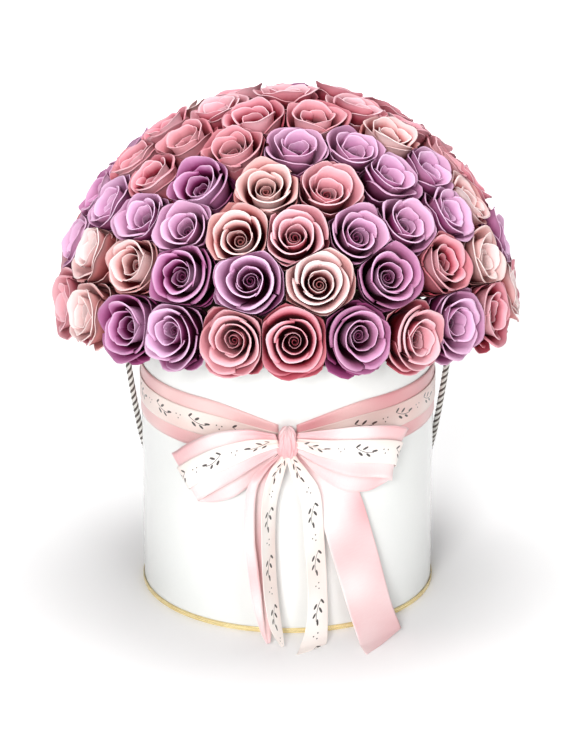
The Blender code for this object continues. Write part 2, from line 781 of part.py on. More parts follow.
def build_cord():
    """The twisted carrying cord and the knot that stops each end inside the box."""
    twisted = material("twisted_cord", (0.45, 0.40, 0.36), 0.8)
    route = smooth_route(CORD_ROUTE, 3 * CORD_DIAMETER, CORD_DIAMETER, 4 * CORD_DIAMETER)
    curve = bpy.data.curves.new("handle_cord", "CURVE")
    curve.dimensions = "3D"
    curve.bevel_depth = CORD_DIAMETER / 2
    curve.bevel_resolution = 2
    curve.use_fill_caps = True
    spline = curve.splines.new("POLY")
    spline.points.add(len(route) - 1)
    for point, place in zip(spline.points, route):
        point.co = (*place, 1.0)
    curve.materials.append(twisted)
    cord = bpy.data.objects.new("handle_cord", curve)
    bpy.context.scene.collection.objects.link(cord)

    for name, side in (("cord_knot_left", -1), ("cord_knot_right", 1)):
        start = abs(CORD_ROUTE[0][0]) - GAP - CORD_KNOT_RADIUS
        bpy.ops.mesh.primitive_ico_sphere_add(
            subdivisions=2, radius=CORD_KNOT_RADIUS, location=(side * start, 0, EYELET_HEIGHT)
        )
        knot = bpy.context.object
        knot.name = name
        knot.scale = CORD_KNOT_SHAPE
        knot.data.materials.append(twisted)


clear_scene()
build_box()
build_liner()
build_roses()
build_ribbons()
build_cord()
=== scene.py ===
# A round hat box filled with a dome of preserved roses, with two ribbons tied in a bow and a carrying cord
import math

import bpy
import numpy as np
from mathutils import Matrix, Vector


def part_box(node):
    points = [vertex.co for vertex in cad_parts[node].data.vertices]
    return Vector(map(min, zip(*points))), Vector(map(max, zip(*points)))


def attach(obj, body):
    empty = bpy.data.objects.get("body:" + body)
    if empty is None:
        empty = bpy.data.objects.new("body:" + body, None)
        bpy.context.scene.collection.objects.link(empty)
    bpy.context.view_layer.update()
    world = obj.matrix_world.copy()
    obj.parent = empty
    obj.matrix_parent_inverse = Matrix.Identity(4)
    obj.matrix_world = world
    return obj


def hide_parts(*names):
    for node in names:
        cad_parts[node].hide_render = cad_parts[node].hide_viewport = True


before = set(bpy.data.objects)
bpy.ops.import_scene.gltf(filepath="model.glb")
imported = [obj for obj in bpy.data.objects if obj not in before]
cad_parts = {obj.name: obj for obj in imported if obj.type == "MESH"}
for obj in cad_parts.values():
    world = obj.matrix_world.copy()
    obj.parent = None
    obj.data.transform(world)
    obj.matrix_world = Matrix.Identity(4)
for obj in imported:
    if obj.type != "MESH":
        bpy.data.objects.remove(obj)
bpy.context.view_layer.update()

# The camera
# It stands in front of the box and looks down on it by about twenty degrees through a long lens, with
# the object close to the middle of its view.
CAMERA_DISTANCE = 2.6
CAMERA_RISE = math.radians(20.18)
AIM_HEIGHT = 0.190
FOCAL_LENGTH = 166.0
VIEW_SHIFT = (0.0053, -0.0452)

lens = bpy.data.cameras.new("camera")
lens.lens = FOCAL_LENGTH
lens.shift_x, lens.shift_y = VIEW_SHIFT
camera = bpy.data.objects.new("camera", lens)
camera.location = (
    0.0,
    -CAMERA_DISTANCE * math.cos(CAMERA_RISE),
    AIM_HEIGHT + CAMERA_DISTANCE * math.sin(CAMERA_RISE),
)
camera.rotation_euler = (math.pi / 2 - CAMERA_RISE, 0.0, 0.0)
bpy.context.scene.collection.objects.link(camera)
bpy.context.scene.camera = camera

# The carrying cord
# A soft cord of four strands, two white and two taupe by turns, laid up to the right. Each end goes in
# through an eyelet and is stopped inside by a knot. It hangs down the sides and lies behind the box.
CORD_DIAMETER = 0.0048
CORD_PITCH = 0.0116
STRANDS = 4
SPAN_STEPS = 24
GROOVE = 0.24
STRAND_FULLNESS = 0.7
CORD_STEP = 0.0009
MEASURING_POINTS = 2000
CORD_SIDES = 24
KNOT_POINTS = 120
KNOT_TURNS = 3
UV_PER_METRE = 100
# Places along it: through an eyelet and down a side, and then the stretch behind the box
CORD_HALF = [
    (0.1062, 0.0000, 0.1900),
    (0.1106, 0.0000, 0.1900),
    (0.1144, 0.0001, 0.1892),
    (0.1175, 0.0005, 0.1871),
    (0.1196, 0.0012, 0.1839),
    (0.1204, 0.0021, 0.1800),
    (0.1202, 0.0036, 0.1720),
    (0.1190, 0.0056, 0.1610),
    (0.1170, 0.0090, 0.1450),
    (0.1145, 0.0140, 0.1260),
    (0.1112, 0.0222, 0.1040),
]
CORD_BEHIND = [
    (-0.1054, 0.0412, 0.0740),
    (-0.0945, 0.0640, 0.0440),
    (-0.0840, 0.0855, 0.0190),
    (-0.0765, 0.1040, 0.0060),
    (-0.0690, 0.1210, 0.0028),
    (-0.0560, 0.1390, 0.0027),
    (-0.0350, 0.1535, 0.0027),
    (-0.0080, 0.1590, 0.0027),
    (0.0200, 0.1570, 0.0027),
    (0.0440, 0.1480, 0.0027),
    (0.0620, 0.1330, 0.0027),
    (0.0730, 0.1150, 0.0030),
    (0.0800, 0.0985, 0.0075),
    (0.0870, 0.0805, 0.0225),
    (0.0965, 0.0610, 0.0470),
    (0.1062, 0.0390, 0.0760),
]


class Value:
    """A socket in a material. A sum, difference, product or quotient of two adds its Math node."""

    def __init__(self, socket):
        self.socket = socket

    def node(self, kind, values, output=0, stops=None, **settings):
        """Any other node: its settings and a ramp's stops first, then each socket's value or link."""
        made = self.socket.id_data.nodes.new("ShaderNode" + kind)
        for key, value in settings.items():
            setattr(made, key, value)
        if stops:
            ramp = made.color_ramp.elements
            for place, colour in stops[2:]:
                ramp.new(place)
            for element, (place, colour) in zip(ramp, sorted(stops)):
                element.position = place
                element.color = (*colour, 1.0)
        for key, value in values.items():
            if isinstance(value, Value):
                self.socket.id_data.links.new(value.socket, made.inputs[key])
            else:
                made.inputs[key].default_value = value
        return Value(made.outputs[output])

    def math(self, operation, *others, clamp=False):
        values = dict(enumerate((self, *others)))
        return self.node("Math", values, operation=operation, use_clamp=clamp)

    def clamp(self):
        return self.math("ADD", 0.0, clamp=True)

    def mix(self, *colours):
        """The first colour where this value is 0 and the second where it is 1."""
        one, other = (look if isinstance(look, Value) else (*look, 1.0) for look in colours)
        return self.node("Mix", {0: self, 6: one, 7: other}, output=2, data_type="RGBA")

    def part(self, axis):
        return self.node("SeparateXYZ", {0: self}, output="XYZ".index(axis))

    def stretched(self, x, y, z):
        return self.node("Mapping", {0: self, "Scale": (x, y, z)})

    def noise(self, scale, detail=2.0, roughness=0.5):
        values = {"Vector": self, "Scale": scale, "Detail": detail, "Roughness": roughness}
        return self.node("TexNoise", values)

    def bump(self, strength, distance):
        return self.node("Bump", {"Height": self, "Strength": strength, "Distance": distance})

    def feeds(self, socket):
        self.socket.id_data.links.new(self.socket, socket)

    def __add__(self, other):
        return self.math("ADD", other)

    def __sub__(self, other):
        return self.math("SUBTRACT", other)

    def __rsub__(self, other):
        return (self * -1.0) + other

    def __mul__(self, other):
        return self.math("MULTIPLY", other)

    def __truediv__(self, other):
        return self.math("DIVIDE", other)

    __radd__ = __add__
    __rmul__ = __mul__


def new_finish(name, fixed):
    """A material, its shader's sockets with the fixed values set, and its Object and UV coordinates."""
    made = bpy.data.materials.new(name)
    made.use_nodes = True
    sockets = made.node_tree.nodes["Principled BSDF"].inputs
    for key, value in fixed.items():
        sockets[key].default_value = value
    place = made.node_tree.nodes.new("ShaderNodeTexCoord").outputs
    return made, sockets, Value(place["Object"]), Value(place["UV"])


def full_turn(count):
    return np.linspace(0, 2 * math.pi, count, endpoint=False)


def smooth(rows, count, place=lambda rows: rows):
    """Rows of numbers on the cubic through the given ones, which leaves each along the chord of its
    neighbours, at even steps of the distance between the places that the rows stand for."""
    rows = np.array(rows, float)
    ends = np.vstack([2 * rows[0] - rows[1], rows, 2 * rows[-1] - rows[-2]])
    before, start, stop, after = (ends[k : len(ends) - 3 + k, None] for k in range(4))
    t = np.linspace(0, 1, SPAN_STEPS, endpoint=False)[None, :, None]
    out, back = start + (stop - before) / 6, stop - (after - start) / 6
    spans = (1 - t) ** 3 * start + 3 * (1 - t) ** 2 * t * out + 3 * (1 - t) * t * t * back + t**3 * stop
    line = np.vstack([spans.reshape(-1, rows.shape[1]), rows[-1:]])
    steps = np.linalg.norm(np.diff(place(line), axis=0), axis=1)
    run = np.concatenate([[0], np.cumsum(steps)])
    wanted = np.linspace(0, run[-1], count)
    return np.stack([np.interp(wanted, run, column) for column in line.T], axis=1)


def unit(vectors):
    return vectors / np.linalg.norm(vectors, axis=-1, keepdims=True)


def lengths(line):
    """How far along a line each of its points is."""
    return np.concatenate([[0], np.cumsum(np.linalg.norm(np.diff(line, axis=0), axis=1))])


def surface(name, points, finish, ends, u=None, v=None, petal=None):
    """One closed mesh from grids of points (grids, rows, columns, 3), whose columns run right round.

    ends says how the first and last rows close: "fan" with one face each, "strip" with the quads between
    the two faces of a thick sheet, "ring" by joining to each other. u and v are the columns' and rows'
    places on the UV map, and petal is three more numbers for each point.
    """
    grids, rows, columns = points.shape[:3]
    row = np.arange(rows if ends == "ring" else rows - 1)[:, None] + 0 * np.arange(columns)
    column = np.arange(columns) + 0 * row
    corner_rows = np.stack([row, row, row + 1, row + 1], -1).reshape(-1, 4)
    corner_columns = np.stack([column, column + 1, column + 1, column], -1).reshape(-1, 4)
    patches = [(corner_rows, corner_columns)]
    if ends != "ring":
        k = np.arange(columns // 2 - 1)
        quads = np.stack([k, columns - 1 - k, columns - 2 - k, k + 1], -1)
        cap = quads if ends == "strip" else np.arange(columns)[None, ::-1]
        patches += [(np.zeros_like(cap), cap), (np.full_like(cap, rows - 1), cap[:, ::-1])]
    corners, sizes, places = [], [], []
    for corner_rows, corner_columns in patches:
        one = (corner_rows % rows) * columns + corner_columns % columns
        every = one[None] + (np.arange(grids) * rows * columns)[:, None, None]
        corners.append(every.ravel())
        sizes.append(np.full(grids * len(one), one.shape[1]))
        if u is not None:
            there = np.stack([u[corner_columns], v[corner_rows]], -1).reshape(-1, 2)
            places.append(np.tile(there, (grids, 1)))
    corners, sizes = np.concatenate(corners), np.concatenate(sizes)
    flat = points.reshape(-1, 3)
    quads = corners[: grids * len(patches[0][0]) * 4].reshape(-1, 4)
    first, second, third, fourth = (flat[quads[:, k]] for k in range(4))
    volume = np.sum(first * (np.cross(second, third) + np.cross(third, fourth)))
    mesh = bpy.data.meshes.new(name)
    mesh.vertices.add(len(flat))
    mesh.vertices.foreach_set("co", flat.astype(np.float32).ravel())
    mesh.loops.add(len(corners))
    mesh.loops.foreach_set("vertex_index", corners.astype(np.int32))
    mesh.polygons.add(len(sizes))
    mesh.polygons.foreach_set("loop_start", (np.cumsum(sizes) - sizes).astype(np.int32))
    if places:
        layer = mesh.uv_layers.new(name="UVMap")
        layer.uv.foreach_set("vector", np.concatenate(places).astype(np.float32).ravel())
    if petal is not None:
        layer = mesh.attributes.new("petal", "FLOAT_VECTOR", "POINT")
        layer.data.foreach_set("vector", petal.astype(np.float32).ravel())
    mesh.update(calc_edges=True)
    if volume < 0:
        mesh.flip_normals()
    mesh.shade_smooth()
    mesh.materials.append(finish)
    piece = bpy.data.objects.new(name, mesh)
    bpy.context.scene.collection.objects.link(piece)
    return piece


def rope(name, line, turns, finish, ends):
    """A laid cord along a line: its outline has a lobe for each strand and turns as it goes.

    Two directions square to the line are carried along it without turning. Round them, the radius is
    largest where the cosine of the angle times half the number of strands is 1 or -1.
    """
    along = unit(np.gradient(line, axis=0))
    if ends == "ring":
        along = unit(np.roll(line, -1, axis=0) - np.roll(line, 1, axis=0))
    side = np.zeros_like(line)
    side[0] = unit(np.cross(along[0], (0.0, 1.0, 0.3)))
    for k in range(1, len(line)):
        side[k] = unit(side[k - 1] - (side[k - 1] @ along[k]) * along[k])
    other = np.cross(along, side)
    angle = full_turn(CORD_SIDES)[None, :]
    lobes = np.abs(np.cos(angle * STRANDS / 2)) ** STRAND_FULLNESS
    radius = CORD_DIAMETER / 2 * (1 - GROOVE + GROOVE * lobes)
    if ends == "ring":
        left = unit(side[-1] - (side[-1] @ along[0]) * along[0])
        turns -= math.atan2(np.cross(side[0], left) @ along[0], side[0] @ left) / (2 * math.pi)
    share = np.arange(len(line)) / (len(line) if ends == "ring" else len(line) - 1)
    turned = angle + 2 * math.pi * turns * share[:, None]
    ring = np.cos(turned)[..., None] * side[:, None] + np.sin(turned)[..., None] * other[:, None]
    points = line[:, None] + radius[..., None] * ring
    u = np.linspace(0, 1, CORD_SIDES + 1)
    run = np.concatenate([lengths(line), [lengths(line)[-1] + np.linalg.norm(line[0] - line[-1])]])
    return surface(name, points[None], finish, ends, u, run * UV_PER_METRE)


def cord_finish():
    """White and taupe cotton strands with fine fibres that run along each strand."""
    made, sockets, spot, mapped = new_finish(
        "twisted_cotton", {"Roughness": 0.85, "Sheen Weight": 0.35, "Sheen Roughness": 0.5}
    )
    across, along = mapped.part("X"), mapped.part("Y")
    taupe = ((across * (2 * math.pi * STRANDS / 2)).math("COSINE") * -5.0 + 0.1).clamp()
    fibre = ((across * 34.0 + along * 9.0) * (2 * math.pi)).math("SINE")
    fuzz = spot.noise(900.0, 3.0, 0.6)
    light = (fibre * 0.12 + fuzz * 0.5).clamp()
    white = light.mix((0.80, 0.77, 0.72), (0.99, 0.98, 0.95))
    dark = light.mix((0.055, 0.042, 0.035), (0.17, 0.13, 0.105))
    taupe.mix(white, dark).feeds(sockets["Base Color"])
    (fibre * 0.5 + fuzz).bump(0.5, 0.0003).feeds(sockets["Normal"])
    return made


cord_twist = cord_finish()
cord_route = [(-x, y, z) for x, y, z in CORD_HALF] + CORD_BEHIND + CORD_HALF[::-1]
cord_length = lengths(smooth(cord_route, MEASURING_POINTS))[-1]
cord_line = smooth(cord_route, round(cord_length / CORD_STEP) + 1)
carrying_cord = rope("carrying_cord", cord_line, cord_length / CORD_PITCH, cord_twist, "fan")

# Each end's knot is a simple overhand one drawn tight: the cord follows a trefoil that fills its room
for side, sign in (("left", -1), ("right", 1)):
    low, high = (np.array(corner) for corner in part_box("cord_knot_" + side))
    turn = full_turn(KNOT_POINTS)
    across, along = np.sin(turn) + 2 * np.sin(2 * turn), np.cos(turn) - 2 * np.cos(2 * turn)
    trefoil = np.stack([np.sin(3 * turn), across, along], axis=1)
    room = (high - low) / 2 - CORD_DIAMETER / 2
    trefoil = (low + high) / 2 + trefoil / np.abs(trefoil).max(axis=0) * room * (sign, 1, 1)
    knot = rope("tight_knot_" + side, trefoil, KNOT_TURNS, cord_twist, "ring")
    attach(knot, "root")
    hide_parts("cord_knot_" + side)
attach(carrying_cord, "root")
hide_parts("handle_cord")

# The box
# A tube of greyboard wrapped in glossy white laminated paper, with its rim turned in and a lap seam at
# the back. A disc of the same board is glued into its foot, and each side has a hole for an eyelet.
BOX_RADIUS = 0.110
WALL = 0.0025
BOX_HEIGHT = 0.210
BOX_SIDES = 192
RIM_ROUND = 0.0011
CUT_ROUND = 0.0004
SEAM_WIDTH = math.radians(7.0)
SEAM_EDGE = math.radians(0.8)
SEAM_RISE = 0.00018
EYELET_HEIGHT = 0.190
HOLE_SIDES = 48
EYELET_HOLE = 0.0056
DISC_GAP = 0.0003
DISC_MIDDLE = 0.002
# Rows of points up the wall: the lowest, and the highest and the number of them on each face
LOWEST_ROW = 0.001
INNER_TOP, INNER_ROWS = BOX_HEIGHT - 0.010, 12
OUTER_TOP, OUTER_ROWS = BOX_HEIGHT - 0.004, 24
SHARP_ANGLE = math.radians(50)


def around(profile, sides=BOX_SIDES, seam=None):
    """A turned surface: each (radius, height) of the profile carried round the Z axis."""
    angle = full_turn(sides)[None, :]
    radius, height = (np.array(profile)[:, k : k + 1] for k in (0, 1))
    radius = radius + (0 * angle if seam is None else seam(angle, radius))
    return np.stack([radius * np.sin(angle), -radius * np.cos(angle), height + 0 * angle], axis=-1)[None]


def corner(centre, radius, start, stop, steps=6):
    """A round corner of a profile: places on a circle between two angles in degrees."""
    angle = np.radians(np.linspace(start, stop, steps))
    return list(zip(centre[0] + radius * np.cos(angle), centre[1] + radius * np.sin(angle)))


def lap(angle, radius):
    """The paper's lap at the back stands out by its thickness, on the outer face only."""
    edge = np.clip((SEAM_WIDTH - np.abs(angle - math.pi)) / SEAM_EDGE, 0, 1)
    return SEAM_RISE * (edge * edge * (3 - 2 * edge)) * (radius > BOX_RADIUS - RIM_ROUND)


def board_finish():
    """Glossy laminated paper: a clear film over white, with the board's broad unevenness under it."""
    made, sockets, spot, _ = new_finish(
        "white_laminate", {"Coat Weight": 0.6, "Coat Roughness": 0.08, "Specular IOR Level": 0.4}
    )
    broad, fine = spot.noise(14.0, 3.0), spot.noise(420.0, 4.0, 0.6)
    tone = (broad * 0.7 + fine * 0.3).clamp()
    tone.mix((0.80, 0.82, 0.795), (0.88, 0.89, 0.875)).feeds(sockets["Base Color"])
    (fine * 0.10 + 0.20).feeds(sockets["Roughness"])
    broad.bump(0.10, 0.0010).feeds(sockets["Normal"])
    return made


white_laminate = board_finish()
inside = BOX_RADIUS - WALL
wall_profile = (
    corner((BOX_RADIUS - RIM_ROUND, BOX_HEIGHT - RIM_ROUND), RIM_ROUND, 0, 90)
    + corner((inside + RIM_ROUND, BOX_HEIGHT - RIM_ROUND), RIM_ROUND, 90, 180)
    + [(inside, height) for height in np.linspace(INNER_TOP, LOWEST_ROW, INNER_ROWS)]
    + corner((inside + CUT_ROUND, CUT_ROUND), CUT_ROUND, 180, 270, 3)
    + corner((BOX_RADIUS - CUT_ROUND, CUT_ROUND), CUT_ROUND, 270, 360, 3)
    + [(BOX_RADIUS, height) for height in np.linspace(LOWEST_ROW, OUTER_TOP, OUTER_ROWS)]
)
wall = surface("hat_box_wall", around(wall_profile, seam=lap), white_laminate, "ring")
bpy.ops.mesh.primitive_cylinder_add(
    vertices=HOLE_SIDES,
    radius=EYELET_HOLE,
    depth=3 * BOX_RADIUS,
    location=(0, 0, EYELET_HEIGHT),
    rotation=(0, math.pi / 2, 0),
)
drill = bpy.context.object
cut = wall.modifiers.new("eyelet_holes", "BOOLEAN")
cut.operation = "DIFFERENCE"
cut.object = drill
cut.solver = "EXACT"
bpy.context.view_layer.update()
pierced = bpy.data.meshes.new_from_object(wall.evaluated_get(bpy.context.evaluated_depsgraph_get()))
wall.modifiers.clear()
wall.data = pierced
bpy.data.objects.remove(drill)
pierced.set_sharp_from_angle(angle=SHARP_ANGLE)
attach(wall, "root")
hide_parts("box_wall")

disc_bend = inside - DISC_GAP - CUT_ROUND
disc_profile = [(DISC_MIDDLE, 0.0)] + corner((disc_bend, CUT_ROUND), CUT_ROUND, 270, 360, 4)
disc_profile += corner((disc_bend, WALL - CUT_ROUND), CUT_ROUND, 0, 90, 4) + [(DISC_MIDDLE, WALL)]
disc = surface("hat_box_base", around(disc_profile), white_laminate, "fan")
disc.data.set_sharp_from_angle(angle=SHARP_ANGLE)
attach(disc, "root")
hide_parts("base_board")

# The gold edge
# A strip of metallic foil on paper, glued round the foot of the wall.
FOIL_LOW, FOIL_HIGH = 0.0003, 0.0042
FOIL_BACK, FOIL_FACE = BOX_RADIUS + 0.0003, BOX_RADIUS + 0.0009
FOIL_ROUND = 0.0003


def foil_finish():
    """Hot gold foil: bright metal with fine scratches round the box and small dents."""
    made, sockets, spot, _ = new_finish("gold_foil", {"Metallic": 0.6})
    dents, scratches = spot.noise(120.0, 3.0), spot.stretched(30, 30, 3000).noise(1.0, 3.0)
    dents.mix((0.80, 0.60, 0.24), (0.98, 0.86, 0.50)).feeds(sockets["Base Color"])
    (scratches * 0.25 + 0.16).feeds(sockets["Roughness"])
    (dents + scratches * 0.3).bump(0.5, 0.0003).feeds(sockets["Normal"])
    return made


foil_profile = [(FOIL_BACK, FOIL_LOW), (FOIL_BACK, FOIL_HIGH)]
foil_profile += corner((FOIL_FACE - FOIL_ROUND, FOIL_HIGH - FOIL_ROUND), FOIL_ROUND, 90, 0, 4)
foil_profile += corner((FOIL_FACE - FOIL_ROUND, FOIL_LOW + FOIL_ROUND), FOIL_ROUND, 0, -90, 4)
foil = surface("gold_foot_edge", around(foil_profile), foil_finish(), "ring")
foil.data.set_sharp_from_angle(angle=SHARP_ANGLE)
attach(foil, "root")
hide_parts("gold_edge")

# The eyelets
# Pressed brass: a rolled flange outside, a barrel through the wall and a clinched lip inside.
EYELET_SIDES = 64
EYELET_BORE = 0.0036
EYELET_BARREL = EYELET_HOLE - 0.0003
FLANGE_RADIUS, FLANGE_ROUND = 0.0072, 0.0008
LIP_RADIUS, LIP_ROUND = 0.0063, 0.0005
MOUTH_ROUND = 0.0010
# The flange's middle off the wall, and inside it the barrel's end, the lip's middle and its mouth
FLANGE_OFF = 0.0003
BARREL_PAST, LIP_PAST, MOUTH_PAST = 0.0006, 0.0008, 0.0005


def mottled(name, fixed, scale, dark, light, gloss, depth):
    """Patches between two tones, duller and a little higher where they are light."""
    made, sockets, spot, _ = new_finish(name, fixed)
    patches = spot.noise(scale, 3.0)
    patches.mix(dark, light).feeds(sockets["Base Color"])
    (patches * 0.3 + gloss).feeds(sockets["Roughness"])
    patches.bump(0.1, depth).feeds(sockets["Normal"])
    return made


tarnish = (0.62, 0.44, 0.20), (0.86, 0.68, 0.36)
brass = mottled("eyelet_brass", {"Metallic": 1.0}, 600.0, *tarnish, 0.12, 0.0001)
eyelet_profile = [(EYELET_BORE, inside - MOUTH_ROUND), (EYELET_BORE, BOX_RADIUS - MOUTH_ROUND)]
eyelet_profile += corner((EYELET_BORE + MOUTH_ROUND, BOX_RADIUS), MOUTH_ROUND, 180, 90, 6)
eyelet_profile += corner((FLANGE_RADIUS, BOX_RADIUS + FLANGE_OFF), FLANGE_ROUND, 90, -40, 8)
eyelet_profile += [(EYELET_BARREL, BOX_RADIUS + FLANGE_OFF), (EYELET_BARREL, inside - BARREL_PAST)]
eyelet_profile += corner((LIP_RADIUS, inside - LIP_PAST), LIP_ROUND, 40, -90, 5)
mouth = (EYELET_BORE + FLANGE_ROUND, inside - MOUTH_PAST)
eyelet_profile += corner(mouth, FLANGE_ROUND, -90, -180, 5)[:-1]
turned = around(eyelet_profile, EYELET_SIDES)
for side, sign in (("left", -1), ("right", 1)):
    ring = np.stack([sign * turned[..., 2], turned[..., 0], turned[..., 1] + EYELET_HEIGHT], axis=-1)
    eyelet = surface("cord_eyelet_" + side, ring, brass, "ring")
    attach(eyelet, "root")
    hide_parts("eyelet_" + side)

# The liner and the foam
# A thin milky plastic cup keeps the foam off the board, and a plug of dark brown dry foam, domed on top,
# fills it. Every stem is pushed into the foam.


def foam_finish():
    """Crushed cells of floral foam, darker in the pores. Its tones are near black: partly the foam's own
    dark brown and partly painted shade where it shows between the heads.
    """
    made, sockets, spot, _ = new_finish("dry_foam", {"Roughness": 0.95, "Specular IOR Level": 0.2})
    cells = spot.node("TexVoronoi", {"Vector": spot, "Scale": 900.0})
    tone = (cells * 0.8 + spot.noise(60.0, 3.0) * 0.5).clamp()
    tone.mix((0.010, 0.005, 0.004), (0.050, 0.026, 0.020)).feeds(sockets["Base Color"])
    cells.bump(0.8, 0.0006).feeds(sockets["Normal"])
    return made


film = {"Transmission Weight": 0.35, "IOR": 1.45}
milky = mottled("milky_film", film, 90.0, (0.72, 0.75, 0.75), (0.88, 0.90, 0.90), 0.2, 0.0002)
for node, made in (("liner", milky), ("foam_core", foam_finish())):
    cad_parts[node].data.materials.clear()
    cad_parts[node].data.materials.append(made)

# The ribbons round the box
# A 40 mm satin ribbon with an 18 mm printed one on top. Both are drawn tight round the wall and gathered
# where they go in behind the knot.
SATIN_WIDTH = 0.040
PRINTED_WIDTH = 0.018
CLOTH = 0.00035
RIBBON_POINTS = 16
# The least height of a ribbon's middle, where it lies on the surface
LYING = 0.0006
BAND_HEIGHT = 0.160
KNOT_HEIGHT = 0.1555
BAND_START = 3.4
BAND_GATHER = 32.0
BAND_POINTS = 260
SATIN_OFF, PRINTED_OFF = 0.0006, 0.0013
GATHERED_SHARE = 0.52
PLEAT_DEPTH = 0.00042
PLEAT_FREQUENCY = 900.0
PLEATS_FADE = 22
PRINT = (0.030, 0.020, 0.018)
# Each satin's deep and light tones, between which its painted sheen runs, its width and its print. The two
# band
# copies have deeper tones: painted shade where the band lies under the dome
SATINS = {
    "pale_pink_satin": ((0.83, 0.42, 0.44), (0.98, 0.88, 0.87), SATIN_WIDTH),
    "printed_cream_satin": ((0.90, 0.74, 0.68), (0.98, 0.95, 0.91), PRINTED_WIDTH, PRINT),
    "shaded_band_pink_satin": ((0.72, 0.31, 0.33), (0.88, 0.60, 0.58), SATIN_WIDTH),
    "shaded_band_printed_satin": ((0.74, 0.50, 0.46), (0.92, 0.80, 0.74), PRINTED_WIDTH, PRINT),
}
PRINT_REPEAT = 0.038
# The sprig's stem: half its width, its bend, how low it lies, its middle behind the centre, half its
# length, and how strong the ink is
SPRIG_STEM = 0.00030
STEM_BEND, STEM_LOW = 26.0, 0.0012
STEM_BACK, STEM_REACH = 0.0045, 0.0082
INK = 0.97
# The sprig's leaves: place along and across the ribbon, tilt in degrees, half length, half width
SPRIG_LEAVES = [
    (-0.0112, 0.0042, 38.0, 0.0024, 0.0009),
    (-0.0078, -0.0022, -34.0, 0.0026, 0.0010),
    (-0.0048, 0.0024, 30.0, 0.0026, 0.0010),
    (-0.0010, -0.0030, -30.0, 0.0024, 0.0009),
    (0.0042, 0.0002, 8.0, 0.0027, 0.0009),
]
DOT, DOT_STEP = 0.0006, 0.0022
DOT_START, DOT_OFF = 0.0122, 0.0014
SELVEDGE = 0.0009
FLOAT = 0.00042


def on_wall(rows):
    """Places in front of the wall: rows of degrees round from the front, metres off the wall, height."""
    turn, radius = np.radians(rows[:, 0]), BOX_RADIUS + rows[:, 1]
    return np.stack([radius * np.sin(turn), -radius * np.cos(turn), rows[:, 2]], axis=1)


def thick(sheet, thickness):
    """Both faces of sheets of points (..., rows, columns, 3): half the thickness off along the normal."""
    normal = unit(np.cross(np.gradient(sheet, axis=-2), np.gradient(sheet, axis=-3)))
    half = normal * thickness / 2
    return np.concatenate([sheet + half, (sheet - half)[..., ::-1, :]], axis=-2)


def ribbon(name, centres, sides, fold, width, finish, columns=RIBBON_POINTS):
    """A ribbon: a row of points across it at each centre, moved off its plane by the fold at that share of
    its length and at that many metres from its middle."""
    along = unit(np.gradient(centres, axis=0))
    normal = unit(np.cross(sides, along))
    across = np.linspace(-1, 1, columns)
    share = np.linspace(0, 1, len(centres))[:, None]
    lift = fold(share, across[None, :] * width / 2)
    sheet = centres[:, None] + across[None, :, None] * sides[:, None] + lift[..., None] * normal[:, None]
    sheet[..., 2] = np.maximum(sheet[..., 2], LYING)
    u = np.linspace(0, 1, columns)
    u = np.concatenate([u, u[::-1], u[:1]])
    piece = surface(name, thick(sheet, CLOTH)[None], finish, "strip", u, lengths(centres))
    piece["cut_length"] = lengths(centres)[-1]
    return piece


def satin(name, deep, light, width, print_colour=None):
    """Satin: long floats across the ribbon, painted sheen in broad bands between its deep and light tones,
    a firm edge, and a print if there is one.
    """
    gloss = {"Sheen Weight": 0.25, "Sheen Roughness": 0.35, "Coat Weight": 0.12, "Coat Roughness": 0.3}
    made, sockets, spot, mapped = new_finish(name, gloss)
    across, along = mapped.part("X"), mapped.part("Y")
    from_edge = 0.5 - (across - 0.5).math("ABSOLUTE")
    edge = (1.0 - from_edge * (width / SELVEDGE)).clamp()
    floats = (along * (2 * math.pi / FLOAT)).math("SINE")
    slub = mapped.stretched(6.0, 900.0, 1.0).noise(1.0, 3.0, 0.6)
    # The tone swings between the deep and light colours in broad bands across the ribbon and soft clouds:
    # painted sheen
    painted_sheen = mapped.stretched(0.7, 22.0, 1.0).noise(1.0, 0.0, 0.4)
    cloud = spot.noise(16.0, 1.0)
    tone = ((painted_sheen - 0.5) * 2.0 + (cloud - 0.5) * 0.7 + slub * 0.16 + floats * 0.04 + 0.46).clamp()
    colour = tone.mix(deep, light)
    if print_colour:
        colour = sprig(across, along, width).mix(colour, print_colour)
    (edge * 0.35).mix(colour, light).feeds(sockets["Base Color"])
    (slub * 0.12 + 0.30).feeds(sockets["Roughness"])
    weave = floats * 0.25 + slub * 0.6 + edge * 0.8
    weave.bump(0.35, 0.00012).feeds(sockets["Normal"])
    return made


def sprig(across, along, width):
    """The printed ribbon's small pattern: a bent stem with five leaves, then three dots, over and over.

    The stem is where the distance from a parabola is small, and a leaf or dot is a turned ellipse.
    """
    x = (along / PRINT_REPEAT).math("FRACT") * PRINT_REPEAT - PRINT_REPEAT / 2
    y = (across - 0.5) * width
    bend = y - (x * x) * STEM_BEND + STEM_LOW
    stem_end = ((STEM_REACH - (x + STEM_BACK).math("ABSOLUTE")) * 4000.0).clamp()
    inked = ((SPRIG_STEM - bend.math("ABSOLUTE")) * 9000.0).clamp() * stem_end
    dots = [(DOT_START + DOT_STEP * k, DOT_OFF * (-1) ** k, 0.0, DOT, DOT) for k in range(3)]
    for at_x, at_y, tilt, long, wide in SPRIG_LEAVES + dots:
        turn = math.radians(tilt)
        dx, dy = x - at_x, y - at_y
        one = (dx * math.cos(turn) + dy * math.sin(turn)) / long
        two = (dy * math.cos(turn) - dx * math.sin(turn)) / wide
        inked = inked.math("MAXIMUM", ((1.0 - (one * one + two * two)) * 4.0).clamp())
    return inked * INK


pink_satin, printed_satin, shaded_band_pink, shaded_band_cream = (satin(name, *look) for name, look in SATINS.items())
band_turn = np.linspace(BAND_START, 360.0 - BAND_START, BAND_POINTS)
beside = np.minimum(band_turn, 360.0 - band_turn) - BAND_START
ease = np.sin(np.clip(beside / BAND_GATHER, 0, 1) * math.pi / 2)


